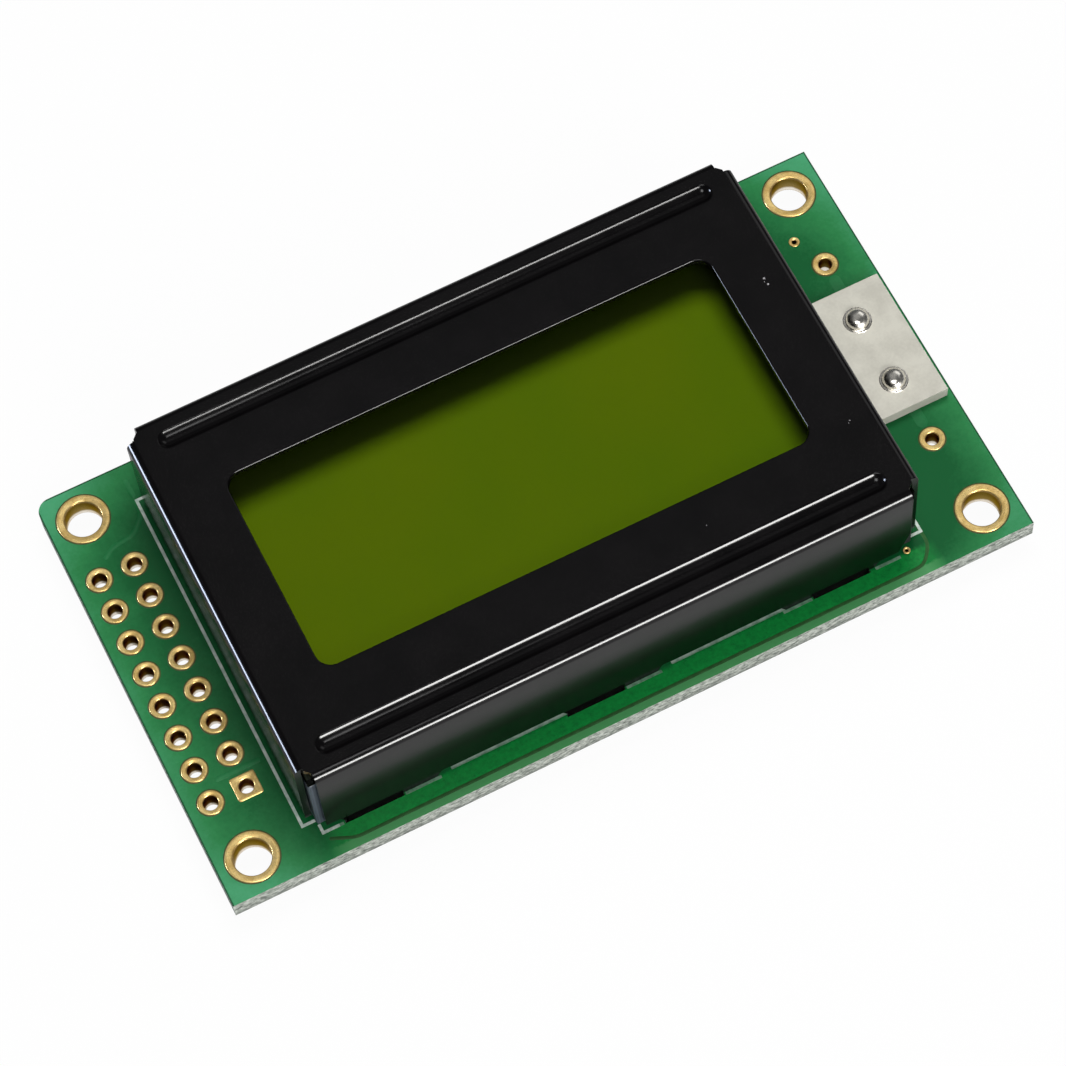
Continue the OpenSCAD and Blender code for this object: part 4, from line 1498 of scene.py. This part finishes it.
@dataclass
class PlatedHoles:
    """Gold barrels with a ring on the board's faces, and the bare laminate round each ring."""

    frame: Frame
    mounting_r: float = 1.25
    header_r: float = 0.5
    side_r: float = 0.45
    lead_r: float = 0.38
    via_r: Pair = (0.16, 0.10)
    via_land_r: float = 0.38
    via_small_r: float = 0.26
    wide_r: float = 1.0
    plating_t: float = 0.05
    lip_share: float = 0.34
    swell: float = 0.03
    fall_from: float = 0.9
    fall: float = 0.6
    square_power: float = 14.0
    bare_w: float = 0.08
    bare_t: float = 0.012
    bare_lap: float = 0.02
    turns: int = 72
    lip_steps: int = 8
    ring_steps: int = 9
    sharp_deg: float = 50.0

    def profile(self, hole_r: float, land_r: float, front_ring: bool) -> np.ndarray:
        """Closed section of a plated hole as (share of the ring's width, height) pairs.

        A share of 0 is the hole's wall and 1 the ring's outer edge. The ring's face swells as
        s * sin(pi * share), falls off near its edge, and a quarter circle leads it into the hole.

        Args:
            hole_r: Radius of the hole.
            land_r: Radius of the ring.
            front_ring: Whether there is a ring on the front face too.

        Returns:
            The section's points, in order.
        """
        width, depth, lip = land_r - hole_r, self.plating_t, self.lip_share
        skin = self.plating_t / width
        a = np.linspace(0, np.pi / 2, self.lip_steps)
        share = np.linspace(lip, 1, self.ring_steps)
        swell = self.swell * np.sin(np.pi * (share - lip) / (1 - lip))
        past = np.clip((share - self.fall_from) / (1 - self.fall_from), 0, 1)
        ring = np.stack([share, depth + swell - depth * self.fall * past**2], -1)
        turn = np.stack([lip * (1 - np.sin(a)), depth - lip * width * (1 - np.cos(a))], -1)[1:]
        face = np.concatenate([ring[::-1], turn])
        top = self.frame.board_t
        front = face + [0, top]
        back = (face * [1, -1])[::-1]
        outside = np.array([[1, 0], [skin, 0], [skin, top], [1, top]])
        if not front_ring:
            front = np.array([[skin, top], [0, top]])
            outside = outside[:2]
        return np.concatenate([front, back, outside])

    def add(self, sheet: Sheet, place: np.ndarray, hole_r: float, land_r: float,
            square: bool = False, front_ring: bool = True, front_r: float = 0.0) -> None:
        """Adds one plated hole: r = hole + share * (outline(a) - hole) round its axis.

        Args:
            sheet: Where its skin goes.
            place: The axis' place in the board's plane.
            hole_r: Radius of the hole.
            land_r: Radius, or half the side, of the ring.
            square: Whether the ring's outline is a square.
            front_ring: Whether there is a ring on the front face too.
            front_r: Radius of the ring on the front face if it is smaller, or 0.
        """
        a = np.linspace(0, 2 * np.pi, self.turns, endpoint=False)
        outline = np.full(self.turns, land_r)
        if square:
            n = self.square_power
            outline = land_r / (np.abs(np.cos(a)) ** n + np.abs(np.sin(a)) ** n) ** (1 / n)
        section = self.profile(hole_r, land_r, front_ring)
        r = hole_r + section[:, :1] * (outline - hole_r)[None]
        if front_r > 0:
            front = section[:, 1] > self.frame.board_t / 2
            r[front] = hole_r + section[front, :1] * (front_r - hole_r)
        z = np.broadcast_to(section[:, 1:], r.shape)
        sheet.tube(np.stack([place[0] + r * np.cos(a), place[1] + r * np.sin(a), z], -1))

    def bare_ring(self, sheet: Sheet, place: np.ndarray, land_r: float, face: Face) -> None:
        """Adds the narrow ring of bare laminate between a pad and the mask.

        Args:
            sheet: Where it goes.
            place: The hole's place in the board's plane.
            land_r: Radius of the pad.
            face: The face that it lies on.
        """
        z = self.frame.face_z(face)
        t = self.bare_t * face.value
        start, end = land_r - self.bare_lap, land_r + self.bare_w
        section = np.array([[start, z], [start, z + t], [end - self.bare_lap, z + t], [end, z]])
        sheet.tube(revolve(section, place, self.turns))

    def build(self) -> None:
        """Makes every plated hole of the board, and the bare rings as one piece."""
        kinds = (("mounting", range(1, 5), self.mounting_r),
                 ("header", range(1, 17), self.header_r),
                 ("side", ENDS, self.side_r), ("lead", ENDS, self.lead_r))
        bare = Sheet()
        for kind, marks, hole_r in kinds:
            gold = self.frame.palette.of(GOLD if hole_r > self.wide_r else NARROW_GOLD)
            front_ring = kind != "lead"
            for mark in marks:
                node = f"{kind}_pad_{mark}"
                square = node == "header_pad_1"
                low, high = node_box(node)
                place, land_r = (low[:2] + high[:2]) / 2, float(high[0] - low[0]) / 2
                sheet = Sheet()
                self.add(sheet, place, hole_r, land_r, square, front_ring)
                name = f"{kind}_plating_{mark}"
                piece = piece_from_sheet(name, sheet, gold, self.sharp_deg)
                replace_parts(piece, node)
                for face in Face:
                    if not square and (front_ring or face is Face.BACK):
                        self.bare_ring(bare, place, land_r, face)
        piece_from_sheet("mask_clearances", bare, self.frame.palette.of(BARE))
        self.vias(self.frame.palette.of(NARROW_GOLD))

    def vias(self, gold: Material) -> None:
        """Makes the two vias, which share one frame node.

        The front one has a smaller ring on the front face.

        Args:
            gold: Material of the plating.
        """
        low, high = node_box("vias")
        land_r = self.via_land_r
        sheet = Sheet()
        self.add(sheet, high[:2] - land_r, self.via_r[0], land_r)
        self.add(sheet, low[:2] + land_r, self.via_r[1], land_r, front_r=self.via_small_r)
        piece = piece_from_sheet("via_plating", sheet, gold, self.sharp_deg)
        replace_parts(piece, "vias")


@dataclass
class CircuitBoard:
    """The masked board, its printed outline and the copper lines that show through the mask."""

    frame: Frame
    trace_h: float = 0.02
    thin_w: float = 0.34
    wide_w: float = 0.8
    bus_w: float = 0.22
    edge_line_w: float = 0.24
    edge_line_h: float = 0.010
    tab_span: Pair = (-5.12, 4.78)
    tab_inset: float = 0.5
    half_pitch: float = 1.27
    middle_share: float = 0.33
    pad_reach: float = 0.8
    outer_reach: Pair = (0.62, 0.5)
    drop_reach: float = 5.2
    drop_run: float = 2.0
    drop_share: float = 0.42
    bus_turn: float = 0.3

    def front_lines(self) -> list[tuple[np.ndarray, float]]:
        """Lays out the covered lines on the front face.

        One runs between the header's first two rows, one bends from behind its last row to the
        bezel's back corner, where a short one goes on, and two join the side holes to the tab.

        Returns:
            Their paths and widths.
        """
        header_x, header_y = node_middle("header_pad_1")[:2]
        outer_x = node_middle("header_pad_2")[0]
        left = node_box("bezel")[0][0]
        side_x, side_y = node_middle("side_pad_front")[:2]
        row = header_y + self.half_pitch
        bent = [[outer_x + 0.9, 10.1], [header_x - 0.8, 10.7], [header_x + 0.8, 10.9],
                [left - 0.5, 12.0], [left - 0.4, 13.2]]
        low, high = self.tab_span[0] + self.tab_inset, self.tab_span[1] - self.tab_inset
        return [
            (np.array([[outer_x + 0.9, row], [left - 0.8, row]]), self.thin_w),
            (rounded(bent, [0, 0.4, 0.4, 0.4, 0]), self.thin_w),
            (np.array([[left - 0.4, 13.4], [left - 0.46, 14.9]]), self.thin_w),
            (np.array([[side_x, side_y + 1.0], [side_x, low]]), self.wide_w),
            (np.array([[side_x, -side_y - 1.0], [side_x, high]]), self.wide_w),
        ]

    @staticmethod
    def edge_line() -> np.ndarray:
        """Path of the dark line beside the front edge, with its slanting ends; its dark green is
        painted shade at the pour's edge.
        """
        path = [[-21.6, -14.65], [-20.0, -15.36], [21.2, -15.36], [22.2, -14.1], [22.1, -12.6]]
        return rounded(path, [0, 0.5, 0.6, 0.6, 0])

    def lane(self, y: float) -> float:
        """Finds the bus line of an outer header hole, half a pitch nearer the middle.

        The two holes beside the middle would share one line, so theirs keep to their own sides.

        Args:
            y: The hole's Y.

        Returns:
            The line's Y.
        """
        if abs(y) < 1.5 * self.half_pitch:
            return y * self.middle_share
        return y - math.copysign(self.half_pitch, y)

    def back_lines(self) -> list[tuple[np.ndarray, float]]:
        """Lays out the bus lines behind the board.

        Each leads from a header hole towards the resin drop. The outer column's first slant into
        the lanes between the inner column's holes, and all of them close up before the drop.

        Returns:
            Their paths and widths.
        """
        drop = node_middle("driver_drop")
        end_x = drop[0] - self.drop_reach
        lines = []
        for i in range(1, 17):
            x, y = node_middle(f"header_pad_{i}")[:2]
            if i % 2 == 1:
                lane, start = y, [[x + self.pad_reach, y]]
            else:
                lane = self.lane(y)
                x, y = x + self.outer_reach[0], y + math.copysign(self.outer_reach[1], lane - y)
                start = [[x, y], [x + abs(lane - y), lane]]
            end_y = drop[1] + lane * self.drop_share
            bend = end_x - self.drop_run - abs(lane - end_y)
            points = [*start, [bend - 0.01, lane], [bend + abs(lane - end_y), end_y],
                      [end_x, end_y]]
            turns = [0, *[self.bus_turn] * (len(points) - 2), 0]
            lines.append((rounded(points, turns), self.bus_w))
        return lines

    def build(self) -> None:
        """Dresses the board and adds its lines."""
        self.frame.dress("circuit_board", MASK)
        self.frame.dress("printed_outline", INK)
        for name, lines, face in (("covered_lines_front", self.front_lines(), Face.FRONT),
                                  ("covered_lines_back", self.back_lines(), Face.BACK)):
            sheet = Sheet()
            base = self.frame.face_z(face)
            for path, width in lines:
                sheet.grid(ribbon(path, width, self.trace_h, base, face.value), wrap=True)
            piece_from_sheet(name, sheet, self.frame.palette.of(RAISED_MASK))
        sheet = Sheet()
        line = ribbon(self.edge_line(), self.edge_line_w, self.edge_line_h, self.frame.board_t, 1.0)
        sheet.grid(line, wrap=True)
        piece_from_sheet("mask_edge_line", sheet, self.frame.palette.of(SHADED_EDGE_MASK))


@dataclass
class DisplayCell:
    """The cell: one clear block of film and two glasses, with the coloured film behind it."""

    frame: Frame
    film_edge: float = 0.03
    air: float = 0.02
    sharp_deg: float = 20.0

    def build(self) -> None:
        """Makes the clear block, stepped like the two glasses, and dresses the film."""
        rear, front, film = (node_box(node) for node in ("rear_glass", "front_glass", "front_film"))
        e, start, step, face = self.film_edge, rear[0][2] + self.air, front[0][2], front[1][2]
        rings = [(*rear, 0.0, start), (*rear, 0.0, step), (*front, 0.0, step), (*front, 0.0, face),
                 (*film, 0.0, face), (*film, 0.0, film[1][2] - e), (*film, e, film[1][2])]
        corners = np.array([[0, 0], [1, 0], [1, 1], [0, 1]], float)
        rows = []
        for low, high, inset, z in rings:
            flat = low[:2] + corners * (high - low)[:2] + (0.5 - corners) * 2 * inset
            rows.append(np.concatenate([flat, np.full((4, 1), z)], -1))
        sheet = Sheet()
        sheet.grid(np.stack(rows), wrap=True)
        for end in (rows[0], rows[-1]):
            sheet.add(end, np.array([[0, 1, 2, 3]]))
        clear = self.frame.palette.of(ClearPane())
        block = piece_from_sheet("cell_block", sheet, clear, self.sharp_deg)
        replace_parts(block, "front_film", "front_glass", "cell_seal", "rear_glass")
        self.frame.dress("rear_film", CellColour())


@dataclass
class LightBox:
    """The light box, of which only the board's tab and the strips beside it show."""

    frame: Frame
    board_soft: float = 0.09
    strip_soft: float = 0.12

    def build(self) -> None:
        """Dresses the light box, the strips and the wires."""
        self.frame.dress("light_board", TAB, self.board_soft)
        self.frame.dress("light_frame", WHITE)
        self.frame.dress("diffuser", DIFFUSER)
        self.frame.dress("light_dies", DIES)
        for s in ENDS:
            self.frame.dress(f"connector_strip_{s}", STRIP, self.strip_soft)
            self.frame.dress(f"lead_wire_{s}", WIRE)


@dataclass
class SolderJoints:
    """Bright domes on the tab and small cones behind the board."""

    frame: Frame
    ring: tuple[Pair, ...] = (
        (1.04, 0.0), (1.03, 0.02), (0.99, 0.035), (0.93, 0.028), (0.88, 0.02))
    ball_share: float = 0.86
    ball_foot: float = 0.03
    ball_rise: float = 1.05
    ball_power: float = 0.78
    ball_rows: int = 20
    turns: int = 64
    sharp_deg: float = 60.0
    chip_soft: float = 0.04

    def dome(self, node: str) -> None:
        """Makes a dome with a low wetted ring round its foot.

        The section runs from the ring's outer edge over its crest, down into the gap beside the
        ball, and up the ball as a superellipse to its top.

        Args:
            node: The frame node that it stands for.
        """
        low, high = node_box(node)
        r, h = float(high[0] - low[0]) / 2, float(high[2] - low[2])
        a, foot = np.linspace(0, np.pi / 2, self.ball_rows), self.ball_foot
        ball = np.stack([r * self.ball_share * np.cos(a) ** self.ball_power,
                         foot + (h * self.ball_rise - foot) * np.sin(a)], -1)
        ball[-1, 0] = 0.0
        section = np.concatenate([[[0.0, 0.0]], np.array(self.ring) * [r, 1], ball]) + [0, low[2]]
        sheet = Sheet()
        sheet.grid(revolve(section, node_middle(node)[:2], self.turns), wrap=True)
        name, solder = node.replace("lug_joint", "solder_dome"), self.frame.palette.of(SOLDER)
        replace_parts(piece_from_sheet(name, sheet, solder, self.sharp_deg), node)

    def build(self) -> None:
        """Makes the domes and dresses the joints behind the board."""
        for s in ENDS:
            self.dome(f"lug_joint_{s}")
            self.frame.dress(f"lead_joint_{s}", SOLDER)
        self.frame.dress("chip_solder", SOLDER, self.chip_soft)


@dataclass
class BackSide:
    """The resin drop over the driver chip, and the chip parts."""

    frame: Frame
    waver: tuple[tuple[float, int, float], ...] = ((0.018, 2, 0.7), (0.012, 3, 2.1))
    skirt_power: float = 2.6
    crown_power: float = 0.8
    rows: int = 28
    turns: int = 96
    sharp_deg: float = 60.0
    end_w: float = 0.35
    chip_soft: float = 0.04
    resistor: tuple[Colour, Colour] = ((0.020, 0.020, 0.023), (0.010, 0.010, 0.012))
    capacitor: tuple[Colour, Colour] = ((0.42, 0.28, 0.16), (0.30, 0.19, 0.10))

    def drop(self) -> None:
        """Makes the resin drop: a turned section whose radius wavers slowly round the axis.

        With t from 0 at the foot to 1 at the middle, the height is h * (1 - (1 - t)^p)^q and
        the radius is R * (1 - t), and R wavers by sines of (share, waves, start).
        """
        low, high = node_box("driver_drop")
        radius, h = float(high[0] - low[0]) / 2, float(high[2] - low[2])
        out = 1 - np.linspace(0, 1, self.rows)[:, None]
        a = np.linspace(0, 2 * np.pi, self.turns, endpoint=False)
        waver = sum(share * np.sin(waves * a + start) for share, waves, start in self.waver)
        r = radius * out * (1 + waver * out)
        z = -h * (1 - out**self.skirt_power) ** self.crown_power
        x, y = node_middle("driver_drop")[:2]
        skin = np.stack([x + r * np.cos(a), y + r * np.sin(a), np.broadcast_to(z, r.shape)], -1)
        middle = np.broadcast_to([x, y, 0.0], (1, self.turns, 3))
        sheet = Sheet()
        sheet.grid(np.concatenate([middle, skin]), wrap=True)
        resin = self.frame.palette.of(RESIN)
        piece = piece_from_sheet("resin_drop", sheet, resin, self.sharp_deg)
        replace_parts(piece, "driver_drop")

    def build(self) -> None:
        """Makes the drop and dresses the chip parts."""
        self.drop()
        for kind, last, tones in (("resistor", 5, self.resistor), ("capacitor", 2, self.capacitor)):
            for i in range(1, last + 1):
                node = f"{kind}_{i}"
                low, high = node_box(node)
                middle = float(low[0] + high[0]) / 2
                bare_from = float(high[0] - low[0]) / 2 - self.end_w
                chip = ChipBody(f"chip_{kind}", *tones, middle, bare_from)
                self.frame.dress(node, chip, self.chip_soft)


# ---------------------------------------------------------------------------
# Studio
# ---------------------------------------------------------------------------


@dataclass(frozen=True)
class Softbox:
    """Flat lamp that faces the module, and that the camera itself doesn't see.

    Azimuth 0 is +X and 90 is +Y, as seen from above. Radiance is what a mirror would show.
    """

    name: str
    azimuth_deg: float
    elevation_deg: float
    width: float
    height: float
    radiance: float
    use: LampUse
    colour: Colour = (1.0, 1.0, 1.0)
    distance: float = 500.0

    def build(self) -> None:
        """Adds the lamp, turned towards the origin."""
        lamp = bpy.data.lights.new(self.name, "AREA")
        lamp.shape = "RECTANGLE"
        lamp.size, lamp.size_y = self.width * MM, self.height * MM
        lamp.energy = 4 * self.radiance * lamp.size * lamp.size_y
        lamp.color = self.colour
        az, el = math.radians(self.azimuth_deg), math.radians(self.elevation_deg)
        to = Vector((math.cos(az) * math.cos(el), math.sin(az) * math.cos(el), math.sin(el)))
        light = bpy.data.objects.new(self.name, lamp)
        turn = to.to_track_quat("Z", "Y").to_matrix().to_4x4()
        light.matrix_world = Matrix.Translation(to * self.distance * MM) @ turn
        light.visible_camera = False
        light.visible_glossy = self.use is LampUse.GLOSS
        light.visible_diffuse = self.use is LampUse.LIGHT
        bpy.context.scene.collection.objects.link(light)


@dataclass
class Studio:
    """Pale floor, plain world, softboxes and the camera."""

    floor_z: float
    floor_half: float = 3000.0
    floor_dark: Colour = (0.50, 0.50, 0.50)
    floor_light: Colour = (0.54, 0.54, 0.54)
    floor_glow: float = 1.02
    camera_share: float = 0.94
    mirror_share: float = 0.20
    under: Pair = (27.5, 15.0)
    ambient: float = 0.10
    ambient_tint: tuple[float, float, float, float] = (0.94, 0.97, 1.0, 1.0)
    white: tuple[float, float, float, float] = (1.0, 1.0, 1.0, 1.0)
    azimuth_deg: float = 20.564
    elevation_deg: float = 64.317
    roll_deg: float = -6.4905
    distance: float = 268.70
    aim: tuple[float, float, float] = (-0.449, -1.348, 1.6)
    lens: float = 137.576
    sensor: float = 36.0
    clip: Pair = (0.01, 50.0)
    boxes: tuple[Softbox, ...] = (
        Softbox("key", 66.0, 70.0, 260, 230, 7.6, LampUse.LIGHT),
        Softbox("fill", -85.0, 42.0, 250, 250, 6.0, LampUse.LIGHT),
        Softbox("mirror_panel", 68.8, 64.6, 250, 250, 0.18, LampUse.GLOSS),
        Softbox("right_panel", 35.0, 40.0, 240, 200, 0.9, LampUse.GLOSS),
        Softbox("front_strip", -80.8, 18.0, 185, 165, 44.0, LampUse.GLOSS, (1.0, 0.99, 0.97)),
        Softbox("left_strip", 153.5, 8.5, 130, 140, 44.0, LampUse.GLOSS, (0.70, 0.79, 1.0)),
        Softbox("camera_side", -112.0, 68.0, 190, 190, 7.0, LampUse.GLOSS),
    )

    def floor_finish(self) -> Material:
        """Makes the floor's material, which shows white but still takes the module's shadow.

        Mirrors see it dimmed, apart from the part under the board, which the barrels mirror.

        Returns:
            The material.
        """
        b = NodeBoard("floor_white")
        rays = b.node("ShaderNodeLightPath").outputs
        mirrored = b.math("MAXIMUM", rays["Is Glossy Ray"], rays["Is Transmission Ray"])
        x, y = (b.math("LESS_THAN", b.math("ABSOLUTE", b.axis(name)), half)
                for name, half in zip("XY", self.under))
        shown = b.spread(b.math("MULTIPLY", x, y), self.mirror_share, self.camera_share)
        seen = b.math("MAXIMUM", b.math("MULTIPLY", rays["Is Camera Ray"], self.camera_share),
                      b.math("MULTIPLY", mirrored, shown))
        tones = b.ramp(b.noise(0.02, 2), [(0.3, self.floor_dark), (0.7, self.floor_light)])
        inputs = {"Color": self.white, "Strength": self.floor_glow}
        glow = b.node("ShaderNodeEmission", None, inputs)
        return b.done(b.blended(seen, b.surface(tones, 0.8), glow))

    def floor(self) -> None:
        """Makes the floor."""
        h, z = self.floor_half, self.floor_z
        mesh = bpy.data.meshes.new("floor")
        corners = np.array([[-h, -h, z], [h, -h, z], [h, h, z], [-h, h, z]]) * MM
        mesh.from_pydata(corners.tolist(), [], [(0, 1, 2, 3)])
        mesh.materials.append(self.floor_finish())
        plane = bpy.data.objects.new("floor", mesh)
        bpy.context.scene.collection.objects.link(plane)
        plane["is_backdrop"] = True

    def world(self) -> None:
        """Makes a plain world that is white to the camera and dim to everything else."""
        world = bpy.data.worlds.new("studio")
        bpy.context.scene.world = world
        world.use_nodes = True
        tree = world.node_tree
        tree.nodes.clear()
        path, dim, white, mixer, out = (tree.nodes.new(f"ShaderNode{kind}") for kind in (
            "LightPath", "Background", "Background", "MixShader", "OutputWorld"))
        dim.inputs["Strength"].default_value = self.ambient
        dim.inputs["Color"].default_value = self.ambient_tint
        white.inputs["Color"].default_value = self.white
        tree.links.new(path.outputs["Is Camera Ray"], mixer.inputs[0])
        tree.links.new(dim.outputs[0], mixer.inputs[1])
        tree.links.new(white.outputs[0], mixer.inputs[2])
        tree.links.new(mixer.outputs[0], out.inputs["Surface"])

    def camera(self) -> None:
        """Places the camera at its azimuth, elevation, roll and distance from its aim."""
        angles = (self.azimuth_deg, self.elevation_deg, self.roll_deg)
        az, el, roll = (math.radians(angle) for angle in angles)
        ahead = Vector((math.sin(az) * math.cos(el), math.cos(az) * math.cos(el), -math.sin(el)))
        level = ahead.cross(Vector((0, 0, 1))).normalized()
        rise = level.cross(ahead)
        right = math.cos(roll) * level + math.sin(roll) * rise
        up = math.cos(roll) * rise - math.sin(roll) * level
        data = bpy.data.cameras.new("camera")
        data.lens, data.sensor_width = self.lens, self.sensor
        data.clip_start, data.clip_end = self.clip
        turn = Matrix((right, up, -ahead)).transposed().to_4x4()
        eye = Vector(self.aim) * MM - ahead * self.distance * MM
        camera = bpy.data.objects.new("camera", data)
        camera.matrix_world = Matrix.Translation(eye) @ turn
        bpy.context.scene.collection.objects.link(camera)
        bpy.context.scene.camera = camera

    def build(self) -> None:
        """Sets up the whole studio."""
        self.floor()
        self.world()
        for box in self.boxes:
            box.build()
        self.camera()
        bpy.context.scene.view_settings.view_transform = "Standard"


def main() -> None:
    """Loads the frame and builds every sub-assembly."""
    logging.basicConfig(level=logging.INFO, format="%(name)s: %(message)s")
    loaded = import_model()
    frame_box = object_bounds()
    frame = Frame(loaded["nodes"], Palette())
    parts = (CircuitBoard(frame), PlatedHoles(frame), Bezel(frame), CoatChips(frame),
             DisplayCell(frame), LightBox(frame), SolderJoints(frame), BackSide(frame))
    for part in parts:
        part.build()
        LOG.info("%s done", type(part).__name__)
    Studio(floor_z=float(frame_box[0][2]) / MM).build()


if __name__ == "__main__":
    main()
